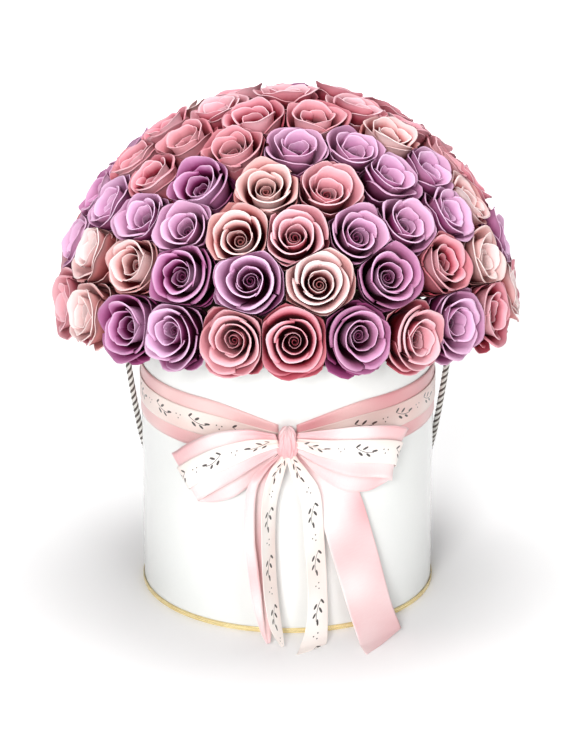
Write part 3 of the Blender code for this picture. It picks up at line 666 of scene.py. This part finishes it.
def gathered(share, off_middle):
    """The band's pleats: waves across it that fade out within a hand's breadth of the knot."""
    near = np.exp(-np.minimum(share, 1 - share) * PLEATS_FADE)
    return PLEAT_DEPTH * near * np.cos(off_middle * PLEAT_FREQUENCY + 2.2 * near)


# The band round the box wears the deeper copies of the satins: painted shade under the dome
for name, node, off, width, finish, slot in (
    ("satin_ribbon_round_box", "satin_band", SATIN_OFF, SATIN_WIDTH, shaded_band_pink, "pink_satin"),
    ("printed_ribbon_round_box", "printed_band", PRINTED_OFF, PRINTED_WIDTH, shaded_band_cream, "cream_satin"),
):
    height = KNOT_HEIGHT + (BAND_HEIGHT - KNOT_HEIGHT) * ease
    centres = on_wall(np.stack([band_turn, off + 0 * height, height], axis=1))
    half = width / 2 * (GATHERED_SHARE + (1 - GATHERED_SHARE) * ease)
    sides = half[:, None] * (0.0, 0.0, 1.0)
    piece = ribbon(name, centres, sides, gathered, width, finish)
    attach(piece, "root")
    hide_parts(node)

# The bow
# One loop to each side, each of the satin ribbon with the printed one on it, held by a knot of satin that
# wraps them. Two satin tails and two printed tails hang from the knot and reach the surface.
STATIONS = 110
TAIL_POINTS = 26
NEAR_KNOT = 8
PRINTED_LAYER = 0.0017
# Depths in metres, each with the waves' run across the ribbon in radians a metre, and a loop's arch
LOOP_PLEAT, LOOP_PLEAT_RUN = 0.0011, 640.0
TAIL_PLEAT, TAIL_PLEAT_RUN = 0.0009, 700.0
HOLLOW, HOLLOW_RUN = 0.0006, 150.0
FOLD, FOLD_RUN = 0.0026, 306.0
LOOP_ARCH = 6.5
PLEATED_SHARE = 0.40
# Along a loop: degrees round the wall, metres off it, height, share of the ribbon's width, tilt in degrees
LEFT_LOOP = [
    (-3.0, 0.0098, 0.1558, 0.36, 20),
    (-5.2, 0.0104, 0.1555, 0.42, 20),
    (-12.0, 0.0140, 0.1530, 0.70, 20),
    (-22.0, 0.0155, 0.1430, 0.95, 27),
    (-31.0, 0.0140, 0.1305, 1.00, 34),
    (-36.6, 0.0128, 0.1215, 1.00, 38),
    (-38.8, 0.0100, 0.1180, 1.00, 38),
    (-37.0, 0.0070, 0.1175, 1.00, 36),
    (-31.0, 0.0062, 0.1205, 1.00, 31),
    (-22.0, 0.0062, 0.1285, 0.95, 25),
    (-12.0, 0.0062, 0.1420, 0.70, 25),
    (-5.2, 0.0062, 0.1525, 0.42, 22),
    (-3.0, 0.0066, 0.1540, 0.36, 20),
]
RIGHT_LOOP = [
    (3.0, 0.0098, 0.1555, 0.36, -8),
    (4.6, 0.0104, 0.1552, 0.42, -8),
    (12.0, 0.0140, 0.1525, 0.70, -10),
    (22.0, 0.0158, 0.1487, 0.95, -12),
    (33.0, 0.0145, 0.1437, 1.00, -16),
    (39.6, 0.0128, 0.1385, 1.00, -20),
    (41.8, 0.0100, 0.1345, 1.00, -24),
    (39.8, 0.0070, 0.1305, 1.00, -26),
    (33.0, 0.0062, 0.1285, 1.00, -23),
    (22.0, 0.0062, 0.1335, 0.95, -21),
    (12.0, 0.0062, 0.1447, 0.70, -22),
    (4.6, 0.0062, 0.1540, 0.42, -10),
    (3.0, 0.0066, 0.1545, 0.36, -8),
]
# Along a tail: the same, but half its width in metres, and its turn out of the wall's plane in degrees
TAILS = {
    "satin_tail_right": [
        (1.6, 0.0068, 0.1500, 0.0040, 0),
        (2.7, 0.0038, 0.1446, 0.0050, 0),
        (7.5, 0.0020, 0.1330, 0.0085, 0),
        (12.8, 0.0021, 0.1235, 0.0130, 0),
        (18.4, 0.0034, 0.1095, 0.0165, 0),
        (24.4, 0.0075, 0.0665, 0.0182, 4),
        (27.6, 0.0130, 0.0360, 0.0188, 6),
        (29.0, 0.0180, 0.0190, 0.0190, 6),
        (29.6, 0.0235, 0.0085, 0.0190, 3),
        (29.4, 0.0300, 0.0030, 0.0190, 0),
        (28.9, 0.0370, 0.0010, 0.0190, 0),
    ],
    "satin_tail_left": [
        (-1.6, 0.0074, 0.1495, 0.0028, 0),
        (-2.2, 0.0080, 0.1428, 0.0035, 0),
        (-6.8, 0.0100, 0.1320, 0.0060, 35),
        (-10.0, 0.0135, 0.1180, 0.0110, 62),
        (-10.5, 0.0145, 0.0860, 0.0130, 68),
        (-9.4, 0.0150, 0.0620, 0.0130, 68),
        (-7.9, 0.0170, 0.0320, 0.0110, 66),
        (-6.8, 0.0205, 0.0130, 0.0070, 60),
        (-6.0, 0.0245, 0.0026, 0.0015, 40),
    ],
    "printed_tail_middle": [
        (1.0, 0.0106, 0.1490, 0.0034, 0),
        (1.6, 0.0118, 0.1427, 0.0040, 0),
        (4.6, 0.0130, 0.1300, 0.0065, 12),
        (8.0, 0.0128, 0.1120, 0.0086, 24),
        (9.4, 0.0125, 0.0760, 0.0090, 28),
        (10.2, 0.0128, 0.0490, 0.0090, 28),
        (10.2, 0.0155, 0.0245, 0.0090, 24),
        (9.2, 0.0210, 0.0095, 0.0090, 16),
        (8.0, 0.0270, 0.0034, 0.0090, 6),
        (7.0, 0.0330, 0.0010, 0.0090, 0),
    ],
    "printed_tail_left": [
        (-0.9, 0.0106, 0.1490, 0.0026, 0),
        (-1.4, 0.0118, 0.1427, 0.0030, 0),
        (-3.8, 0.0155, 0.1320, 0.0060, 28),
        (-5.8, 0.0176, 0.1115, 0.0085, 54),
        (-6.2, 0.0180, 0.0830, 0.0088, 62),
        (-5.9, 0.0185, 0.0590, 0.0088, 62),
        (-5.3, 0.0200, 0.0396, 0.0084, 60),
        (-3.6, 0.0238, 0.0160, 0.0060, 50),
        (-1.4, 0.0298, 0.0028, 0.0012, 30),
    ],
}
END_SLANT = {"satin_tail_right": 0.030, "printed_tail_middle": 0.020}
# Two tails end in a point, because their ends are cut on a long slant
POINTED_CUT = {"satin_tail_left": 0.050, "printed_tail_left": 0.035}


def bow_loop(name, stations, width, outside, finish):
    """A loop from the knot round its tip and back, the printed one a layer outside the satin's path."""
    table = smooth(stations, STATIONS, on_wall)
    centres = on_wall(table)
    turn, tilt = np.radians(table[:, 0:1]), np.radians(table[:, 4:5])
    level = np.hstack([np.cos(turn), np.sin(turn), 0 * turn])
    upright = np.array([[0.0, 0.0, 1.0]])
    sides = (np.cos(tilt) * upright - np.sin(tilt) * level) * table[:, 3:4] * width / 2
    outward = unit(np.cross(np.gradient(centres, axis=0), sides))
    outward *= math.copysign(1.0, outward[NEAR_KNOT] @ (centres[NEAR_KNOT] * (1, 1, 0)))
    return ribbon(name, centres + outside * outward, sides, loop_pleats, width, finish)


def loop_pleats(share, off_middle):
    """The band arches away from its middle, and pleats spread from the knot and fade before the tip."""
    near = np.clip(np.minimum(share, 1 - share) / PLEATED_SHARE, 0, 1)
    pleats = LOOP_PLEAT * (1 - near) ** 1.4 * np.cos(off_middle * LOOP_PLEAT_RUN + 1.0)
    return pleats - LOOP_ARCH * off_middle**2 * np.sin(np.pi * near / 2) * (share < 0.5)


def bow_tail(name, stations, width, finish):
    """A tail: its width is square to its run, turned out of the wall's plane by the stations' angle,
    and over its last quarter it comes to lie along the slanting cut."""
    table = smooth(stations, STATIONS, on_wall)
    centres = on_wall(table)
    along = unit(np.gradient(centres, axis=0))
    turn, twist = np.radians(table[:, 0:1]), np.radians(table[:, 4:5])
    level = np.hstack([np.cos(turn), np.sin(turn), 0 * turn])
    flat = unit(level - np.sum(level * along, axis=1, keepdims=True) * along)
    lifted = np.cross(along, flat)
    sides = (np.cos(twist) * flat - np.sin(twist) * lifted) * table[:, 3:4]
    late = np.clip(np.linspace(-3, 1, len(table)), 0, 1)[:, None]
    sides -= along * END_SLANT.get(name, 0.0) / 2 * late * late
    fold = folded_tail if name == "satin_tail_left" else tail_wave
    return ribbon(name + "_ribbon", centres, sides, fold, width, finish, TAIL_POINTS)


def tail_wave(share, off_middle):
    """A tail's own curl: pleats at the knot that open into a slight hollow."""
    near = np.exp(-share * 9)
    hollow = np.sin(np.pi * np.clip(share / 0.8, 0, 1)) * np.cos(off_middle * HOLLOW_RUN)
    return TAIL_PLEAT * near * np.cos(off_middle * TAIL_PLEAT_RUN) + HOLLOW * hollow


def folded_tail(share, off_middle):
    """The same, and two folds along its whole length, flat only at both ends."""
    held = np.clip(share * 6, 0, 1) * np.clip((1 - share) * 4, 0, 1)
    return tail_wave(share, off_middle) + FOLD * held * np.cos(off_middle * FOLD_RUN)


KINDS = {
    "satin": (SATIN_WIDTH, pink_satin, "pink_satin", 0.0),
    "printed": (PRINTED_WIDTH, printed_satin, "cream_satin", PRINTED_LAYER),
}
bow = {}
for side, stations in (("left", LEFT_LOOP), ("right", RIGHT_LOOP)):
    for kind, (wide, finish, _, outside) in KINDS.items():
        bow[f"{kind}_loop_{side}"] = bow_loop(f"{kind}_bow_loop_{side}", stations, wide, outside, finish)
for node, stations in TAILS.items():
    wide, finish, _, _ = KINDS[node.split("_")[0]]
    bow[node] = bow_tail(node, stations, wide, finish)
for node, piece in bow.items():
    wide, _, slot, _ = KINDS[node.split("_")[0]]
    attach(piece, "root")
    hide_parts(node)
    held = "folded" if "loop" in node else "hung"
    long = round(piece["cut_length"], 3)
    area = wide * (long - POINTED_CUT.get(node, 0.0) / 2)

# The knot is a short wrap of satin, drawn into upright folds and pressed against the band
KNOT_HALF = np.array([0.0084, 0.0082, 0.0126])
KNOT_GAP = 0.0005
KNOT_SQUARENESS = 0.82
KNOT_FOLD = 0.24
KNOT_ROWS, KNOT_COLUMNS = 48, 96
KNOT_WRAP = 0.03


def knot_wrap():
    """The knot, about 1 from its middle each way: a ball that a power below 1 of each coordinate makes
    squarer, drawn in by two sets of creases that run up it, and a little narrower at the top."""
    rise = np.linspace(-math.pi / 2 + 0.05, math.pi / 2 - 0.05, KNOT_ROWS)[:, None]
    turn = full_turn(KNOT_COLUMNS)[None, :]
    level = np.cos(rise)
    ball = np.stack([level * np.cos(turn), level * np.sin(turn), np.sin(rise) + 0 * turn], axis=-1)
    ball = np.sign(ball) * np.abs(ball) ** KNOT_SQUARENESS
    creases = np.abs(np.sin(turn * 3.5 + 1.3 * np.sin(rise * 1.3) + 0.5)) ** 0.6
    folds = 0.7 * np.abs(np.sin(turn * 6.0 - 1.1 * rise + 0.3)) + 0.3
    ball *= (1.0 - KNOT_FOLD * (1 - creases * folds) * level**0.5)[..., None]
    ball[..., 0] *= 0.93 - 0.10 * np.sin(rise)
    return ball


knot_centre = on_wall(np.array([[0.0, KNOT_GAP + KNOT_HALF[1], KNOT_HEIGHT]]))[0]
knot_points = (knot_wrap() * KNOT_HALF + knot_centre)[None]
around_u, up_v = np.linspace(0, 1, KNOT_COLUMNS + 1), np.linspace(0, KNOT_WRAP, KNOT_ROWS)
knot = surface("satin_knot", knot_points, pink_satin, "fan", around_u, up_v)
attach(knot, "root")
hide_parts("bow_knot")

# The roses
# Preserved rose heads in dusty pink, mauve and pale peach, each on its stem in the foam. Every petal is a
# thin sheet: tight ones round the heart, broad ones that open like a bowl, and drooping guards. The sizes
# within a rose are in mm.
DOME_CENTRE = np.array([0.0, 0.0, 0.210])
FACE_RADIUS = 0.167
STEM_END = 0.082
END_MARGIN = 0.0012
STEM_WIDEST = 0.01
MM = 0.001
FIRST_SEED = 1000
GOLDEN = math.radians(137.508)
PETAL_THICKNESS = 0.36
PETAL_POINT = 0.040
TWIST = 0.7
# A random number stays within this many deviations
LOOSEST = 1.8
# A petal's back takes its tone from its place up the petal times and plus these, so it is darker: painted
# shade on the backs of the petals
UNDERSIDE_SHADE = (1.38, -0.50)
CLEARANCE = 0.0003
FREE_SHARE = 0.86
NEAR_NEIGHBOUR = math.radians(42)
# A plane limits only the points whose direction leans towards its neighbour by more than this
FACING = 0.05
# A direction that no stem has
ASIDE = (0.31, 0.17, 0.93)
# A petal's foot at the heart, and how much farther out and down it is for the outermost petal
FOOT_RADIUS, FOOT_SPREAD = 1.3, 5.0
FOOT_HEIGHT, FOOT_DROP = -19.0, 16.0
POINT_WIDTH = 0.28
HEART_REACH = 24
# Shapes of the petals by their number from the heart outwards, in mm and degrees: the rim's radius, its
# height over the rose's face, its lean from upright, the cup's belly, how far the lip turns over and at
# what radius, how much the sides fall away, and half of the petal's width round the rose
PETAL_SHAPES = np.array(
    [
        (0, 1.2, -6.0, -8, 2.4, 5, 0.4, 0.10, 112),
        (5, 5.4, -3.4, 2, 7.6, 30, 0.5, 0.14, 100),
        (6, 7.8, 1.0, 6, 9.6, 60, 0.7, 0.18, 88),
        (8, 10.6, 4.2, 18, 11.8, 90, 0.9, 0.22, 82),
        (9, 13.6, 5.8, 32, 13.4, 100, 1.1, 0.24, 80),
        (11, 17.2, 6.6, 44, 15.2, 110, 1.2, 0.26, 76),
        (12, 21.4, 5.2, 56, 16.4, 115, 1.4, 0.26, 74),
        (15, 25.0, 2.6, 64, 19.2, 110, 1.5, 0.28, 68),
        (16, 26.2, -3.6, 66, 21.6, 95, 1.5, 0.32, 60),
        (20, 30.0, -11.0, 80, 24.5, 80, 1.5, 0.34, 56),
    ],
    dtype=float,
)
# The first petal of each group, how many, the rows of points up a petal and over its lip, and across it
PETAL_GROUPS = [(0, 6, 4, 1, 9), (6, 3, 5, 2, 13), (9, 3, 6, 3, 15), (12, 4, 6, 3, 16), (16, 5, 4, 2, 12)]
LAST_PETAL = 20


def petals(rose, first, count, cup_rows, lip_rows, columns, draw):
    """Thin sheets (petals, rows, columns, 3) in mm round a rose's own axis, with their shades.

    Up the petal, radius and height run on a cubic from the rose's foot by the belly to the rim, which
    leans outwards; over the lip they go on along an arc that turns outwards and down. Across the petal
    the rim falls away to both sides of a slight point, and waves.
    """
    number = np.arange(first, first + count)[:, None, None]
    s = np.linspace(-1, 1, columns)[None, None, :]
    loose = draw.normal(0, 1, (8, count, 1, 1)).clip(-LOOSEST, LOOSEST)
    nest = number + TWIST * s + 0.22 * loose[0]
    rim, top, lean, belly, turn, lip, fall, half = (
        np.interp(nest, PETAL_SHAPES[:, 0], column) for column in PETAL_SHAPES.T[1:]
    )
    open_out = nest / LAST_PETAL
    rim = rim * rose["spread"] + 0.9 * loose[1] * open_out
    top = top + rose["lift"] * (1 - open_out) + 0.9 * loose[2] * (0.3 + open_out)
    lean = np.radians(lean + 6.0 * loose[3] * open_out + rose["lean"])
    foot_radius, foot_height = FOOT_RADIUS + FOOT_SPREAD * open_out, FOOT_HEIGHT - FOOT_DROP * open_out
    handle = 5.0 + 3.0 * open_out
    spots = [
        (foot_radius, foot_height),
        (belly, foot_height + 4.5),
        (rim - handle * np.sin(lean), top - handle * np.cos(lean)),
        (rim, top),
    ]
    climb = np.concatenate([np.linspace(0, 1, cup_rows) ** 0.75, np.ones(lip_rows)])[None, :, None]
    over = np.concatenate([np.zeros(cup_rows), np.arange(1, lip_rows + 1) / lip_rows])[None, :, None]
    point = PETAL_POINT * np.clip(1 - np.abs(s) / POINT_WIDTH, 0, 1) * open_out
    run = climb * (1 - fall * np.abs(s - 0.12 * loose[4]).clip(0, 1) ** 2.8 + point)
    weights = [(1 - run) ** 3, 3 * (1 - run) ** 2 * run, 3 * (1 - run) * run**2, run**3]
    speeds = [-((1 - run) ** 2), (1 - run) * (1 - 3 * run), run * (2 - 3 * run), run**2]
    radius, level = (sum(w * spot[k] for w, spot in zip(weights, spots)) for k in (0, 1))
    outward, upward = (sum(w * spot[k] for w, spot in zip(speeds, spots)) for k in (0, 1))
    lean_there = np.arctan2(outward, upward)
    turned = lean_there + over * np.radians(turn) * (0.50 + 0.50 * np.abs(s) ** 1.3 + 0.14 * loose[5])
    radius = radius + lip * (np.cos(lean_there) - np.cos(turned))
    level = level + lip * (np.sin(turned) - np.sin(lean_there))
    wave = np.sin(s * 5.4 + 3.0 * loose[6]) + 0.5 * np.sin(s * 9.7 + 5.0 * loose[7])
    wave = wave * climb**4 * (0.15 + 1.05 * open_out)
    radius, level = radius + 0.6 * wave, level + 1.0 * wave
    angle = number * GOLDEN + rose["turn"] + np.radians(half) * s + 0.10 * loose[7]
    angle = angle * rose["hand"]
    shift = rose["heart"] * np.clip(1 - radius / HEART_REACH, 0, 1)[..., None]
    flat = radius[..., None] * np.stack([np.cos(angle), np.sin(angle)], axis=-1) + shift
    sheet = np.concatenate([flat, (level + 0 * angle)[..., None]], axis=-1)
    shade = [0.86 * run + 0.14 * over, nest / LAST_PETAL, rose["flush"] + 0.10 * loose[0]]
    shade = np.stack(np.broadcast_arrays(*shade, angle)[:3], axis=-1)
    # The back of each petal gets a lower place up the petal, so it is darker: painted shade
    under = shade[..., ::-1, :] * (UNDERSIDE_SHADE[0], 1.0, 1.0) + (UNDERSIDE_SHADE[1], 0.0, 0.0)
    return thick(sheet, PETAL_THICKNESS), np.concatenate([shade, under], axis=-2)


def held_in_cell(points, axis, neighbours):
    """Press a head's points in softly where they come near the plane halfway to a neighbouring rose.

    Out from the axis, a point may go as far as the nearest of those planes. The last stretch before it
    is squeezed by a hyperbolic tangent, so that no point reaches the plane.
    """
    level = points @ axis
    flat = points - level[..., None] * axis
    reach = np.linalg.norm(flat, axis=-1)
    outward = flat / np.maximum(reach, 1e-9)[..., None]
    towards = outward @ neighbours.T
    gap = CLEARANCE * np.linalg.norm(neighbours - axis, axis=1)
    room = level[..., None] * (1 - neighbours @ axis) - gap
    limit = np.where(towards > FACING, room / np.maximum(towards, FACING), 1.0).min(axis=-1)
    share = reach / limit
    rest = 1 - FREE_SHARE
    pressed = np.where(share > FREE_SHARE, FREE_SHARE + rest * np.tanh((share - FREE_SHARE) / rest), share)
    return level[..., None] * axis + (pressed * limit)[..., None] * outward


def stems_of(nodes):
    """The roses of the frame: each stem ends in three corners, close to each other and all at one
    distance from the dome's centre, so a rose is its node and the direction of their middle."""
    found = []
    for node in nodes:
        corners = np.zeros(len(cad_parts[node].data.vertices) * 3)
        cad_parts[node].data.vertices.foreach_get("co", corners)
        corners = corners.reshape(-1, 3) - DOME_CENTRE
        ends = corners[np.linalg.norm(corners, axis=1) < STEM_END + END_MARGIN]
        near = np.linalg.norm(ends[:, None] - ends[None], axis=-1) < STEM_WIDEST
        for first in np.unique(near.argmax(axis=1)):
            found.append((node, unit(ends[near[first]].mean(axis=0))))
    return found


def basis_of(axis):
    """Two directions square to an axis, and the axis."""
    side = unit(np.cross(axis, ASIDE))
    return np.stack([side, np.cross(axis, side), axis])


def petal_finish(name, deep, heart, body, rim, blush):
    """A preserved petal: dark at its foot, which is painted shade in the depths of the rose, and paler to
    the rim, which is partly the petal's own colour and partly painted highlight, with fine veins and a
    soft velvet sheen.

    Tight petals round the heart and the outer guards are darkened with painted shade, in the heart's
    hollow and in the gaps between heads, more than the broad ones between them. Where the petal's number
    is below nought it is the stem, which is green.
    """
    velvet = {"Sheen Weight": 0.04, "Sheen Tint": (0.90, 0.40, 0.50, 1.0), "Sheen Roughness": 0.35}
    fixed = {"Roughness": 0.55, "Specular IOR Level": 0.04, **velvet}
    made, sockets, spot, _ = new_finish(name, fixed)
    core = [(one + 4 * other) / 5 for one, other in zip(heart, deep)]
    petal = spot.node("Attribute", {}, output=1, attribute_name="petal")
    run, ring, chance = (petal.part(axis) for axis in "XYZ")
    cloud, grain = spot.noise(55.0, 3.0), spot.noise(700.0, 3.0, 0.6)
    climb = run + (cloud - 0.5) * 0.14
    # The foot's tone is painted shade in the depths of the rose; the pale rim is partly colour and partly
    # painted highlight
    tones = [(0.25, deep), (0.90, rim), (0.41, heart), (0.60, body)]
    ramp = climb.node("ValToRGB", {0: climb}, stops=tones)
    flushed = ((chance - 0.40) * 1.4 + (cloud - 0.5) * 1.6).clamp()
    colour = (flushed * 0.6).mix(ramp, blush)
    edge = ((run - 0.80) * 6.0).clamp()
    # Painted shade in the heart's hollow: tight inner petals darken towards the heart tone, less near
    # their rims
    heart_shade = (1.30 - ring * 3.8).clamp() * 0.97
    colour = heart_shade.mix(colour, edge.mix(core, heart))
    # Painted shade in the gaps between heads: the outer guards darken towards the heart tone, less near
    # their rims
    guard_shade = ((ring - 0.52) * 3.2).clamp() * (0.9 - edge * 0.55)
    colour = guard_shade.mix(colour, heart)
    # More painted shade at the foot of every petal
    colour = ((0.45 - run) * 3.5).clamp().mix(colour, deep)
    stem = (ring * -1.0).math("GREATER_THAN", 0.5)
    stalk = cloud.mix((0.035, 0.060, 0.020), (0.10, 0.15, 0.05))
    stem.mix(colour, stalk).feeds(sockets["Base Color"])
    veins = spot.noise(260.0, 2.0, 0.5)
    (veins * 0.8 + grain * 0.3).bump(0.25, 0.0004).feeds(sockets["Normal"])
    return made


# Each colour of rose: its finish's name, and its foot, heart, body, rim and blush. The foot tone is
# painted shade, the heart tone also paints shade in the heart and on the guards, and the rim tone is
# partly paler colour and partly painted highlight
PETAL_LOOKS = {
    "pink": (
        "dusty_pink_petal",
        (0.075, 0.002, 0.004),
        (0.42, 0.050, 0.080),
        (0.84, 0.35, 0.42),
        (0.95, 0.66, 0.72),
        (0.88, 0.46, 0.50),
    ),
    "mauve": (
        "mauve_petal",
        (0.050, 0.001, 0.016),
        (0.26, 0.035, 0.14),
        (0.60, 0.25, 0.47),
        (0.88, 0.60, 0.82),
        (0.78, 0.43, 0.60),
    ),
    "cream": (
        "pale_peach_petal",
        (0.12, 0.005, 0.007),
        (0.58, 0.18, 0.18),
        (0.93, 0.62, 0.62),
        (0.98, 0.86, 0.85),
        (0.95, 0.70, 0.66),
    ),
}
petal_finishes = {kind: petal_finish(*look) for kind, look in PETAL_LOOKS.items()}
# The calyx closes the head below, and the stem runs from it to the bottom of its hole in the foam: each
# row is a radius and a height
CALYX = [(0.4, -16.5), (4.5, -18.0), (8.2, -21.0), (9.2, -25.0), (8.4, -31.0), (6.4, -36.0), (3.6, -39.0)]
STEM = [(2.3, -41.0), (2.3, -60.0), (2.2, (STEM_END - FACE_RADIUS) / MM)]
STEM_SIDES = 10
stalk_profile = np.array(CALYX + STEM)
stalk_angle = full_turn(STEM_SIDES)[None, :]
stalk_radius, stalk_height = (stalk_profile[:, k : k + 1] for k in (0, 1))
stalk_x, stalk_y = stalk_radius * np.cos(stalk_angle), stalk_radius * np.sin(stalk_angle)
stalk = np.stack([stalk_x, stalk_y, stalk_height + 0 * stalk_angle], axis=-1)
stalk_shade = np.zeros_like(stalk)
# The calyx takes the petals' darkest foot tone, painted shade where it shows between heads; the stem below
# is green
stalk_shade[..., 1] = np.where(np.arange(len(stalk_profile)) < len(CALYX) - 1, 0.9, -1.0)[:, None]

roses = stems_of(sorted(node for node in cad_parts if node.startswith("roses_")))
axes = np.array([axis for _, axis in roses])
# A head leans a little to one side on its stem, about a place inside the calyx
PIVOT = np.array([0.0, 0.0, -24.0])
for node in sorted({node for node, _ in roses}):
    grids = {}
    for number, (home, axis) in enumerate(roses):
        if home != node:
            continue
        draw = np.random.default_rng(FIRST_SEED + number)
        rose = {
            "spread": draw.uniform(0.93, 1.03),
            "lift": draw.uniform(-2.4, 2.4),
            "lean": draw.uniform(-9.0, 6.0),
            "flush": draw.uniform(0.2, 0.9),
            "turn": draw.uniform(0, 2 * math.pi),
            "hand": draw.choice([-1, 1]),
            "heart": draw.normal(0, 1.4, 2).clip(-2.4, 2.4),
        }
        tilted = unit(axis + draw.normal(0, 0.055, 3).clip(-0.1, 0.1))
        near = axes @ axis > math.cos(NEAR_NEIGHBOUR)
        near[number] = False
        for first, count, cup_rows, lip_rows, columns in PETAL_GROUPS:
            sheet, shade = petals(rose, first, count, cup_rows, lip_rows, columns, draw)
            placed = ((sheet - PIVOT) @ basis_of(tilted) + PIVOT @ basis_of(axis)) * MM
            placed = held_in_cell(placed + FACE_RADIUS * axis, axis, axes[near]) + DOME_CENTRE
            grids.setdefault(placed.shape[1:], []).append((placed, shade))
        standing = stalk @ basis_of(axis) * MM + FACE_RADIUS * axis + DOME_CENTRE
        grids.setdefault("stalks", []).append((standing[None], stalk_shade[None]))
    finish = petal_finishes[node.split("_")[1]]
    made = []
    for shape, heads in grids.items():
        points, shades = (np.concatenate([head[k] for head in heads]) for k in (0, 1))
        ends = "fan" if shape == "stalks" else "strip"
        made.append(surface(f"{node}_{len(made)}", points, finish, ends, petal=shades))
    for piece in made:
        piece.select_set(True)
    bpy.context.view_layer.objects.active = made[0]
    bpy.ops.object.join()
    head = made[0]
    head.name = node.replace("roses", "rose_heads")
    head.select_set(False)
    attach(head, "root")
    node.split("_")[1] + "_petals"
    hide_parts(node)

# The studio
# A plain pale floor, a little bright of its own, under large soft lights in front and above. One more
# light falls on the floor far behind the object, so that it ends in white.
FLOOR_SIZE = 12.0
WHITE = (1.0, 1.0, 1.0, 1.0)
FLOOR_GLOW = 0.13
WORLD_STRENGTH = 0.18
OBJECT_MIDDLE = (0.0, 0.0, 0.2)
# Each light's name, place, target, size, power and spread in degrees
LIGHTS = [
    ("overhead", (0.0, 0.2, 2.6), OBJECT_MIDDLE, 1.6, 52.0, 180.0),
    ("front_left", (-0.6, -2.8, 1.35), OBJECT_MIDDLE, 0.8, 62.0, 180.0),
    ("front_right", (1.2, -2.6, 0.9), OBJECT_MIDDLE, 1.0, 17.0, 180.0),
    ("far_floor", (0.0, 2.6, 2.6), (0.0, 2.8, 0.0), 1.8, 80.0, 80.0),
]

floor_look = {"Roughness": 0.6, "Emission Color": WHITE, "Emission Strength": FLOOR_GLOW}
floor_finish, floor_sockets, floor_spot, _ = new_finish("pale_floor", floor_look)
grain = floor_spot.noise(60.0, 2.0)
grain.mix((0.90, 0.90, 0.90), (0.93, 0.93, 0.93)).feeds(floor_sockets["Base Color"])
half_floor = FLOOR_SIZE / 2
floor_mesh = bpy.data.meshes.new("floor")
floor_corners = [(x * half_floor, y * half_floor, 0) for x, y in ((-1, -1), (1, -1), (1, 1), (-1, 1))]
floor_mesh.from_pydata(floor_corners, [], [(0, 1, 2, 3)])
floor_mesh.materials.append(floor_finish)
floor = bpy.data.objects.new("floor", floor_mesh)
bpy.context.scene.collection.objects.link(floor)

for name, place, target, size, power, spread in LIGHTS:
    lamp = bpy.data.lights.new(name, "AREA")
    lamp.size = size
    lamp.energy = power
    lamp.spread = math.radians(spread)
    holder = bpy.data.objects.new(name, lamp)
    holder.location = place
    # An area light shines down its own Z axis, which is turned away from the target
    aim = np.array(target) - place
    tip = math.atan2(math.hypot(aim[0], aim[1]), -aim[2])
    holder.rotation_euler = (tip, 0.0, math.atan2(aim[1], aim[0]) - math.pi / 2)
    bpy.context.scene.collection.objects.link(holder)

world = bpy.data.worlds.new("studio")
world.use_nodes = True
sky = world.node_tree.nodes["Background"].inputs
sky["Color"].default_value = WHITE
sky["Strength"].default_value = WORLD_STRENGTH
bpy.context.scene.world = world
bpy.context.scene.view_settings.view_transform = "Standard"
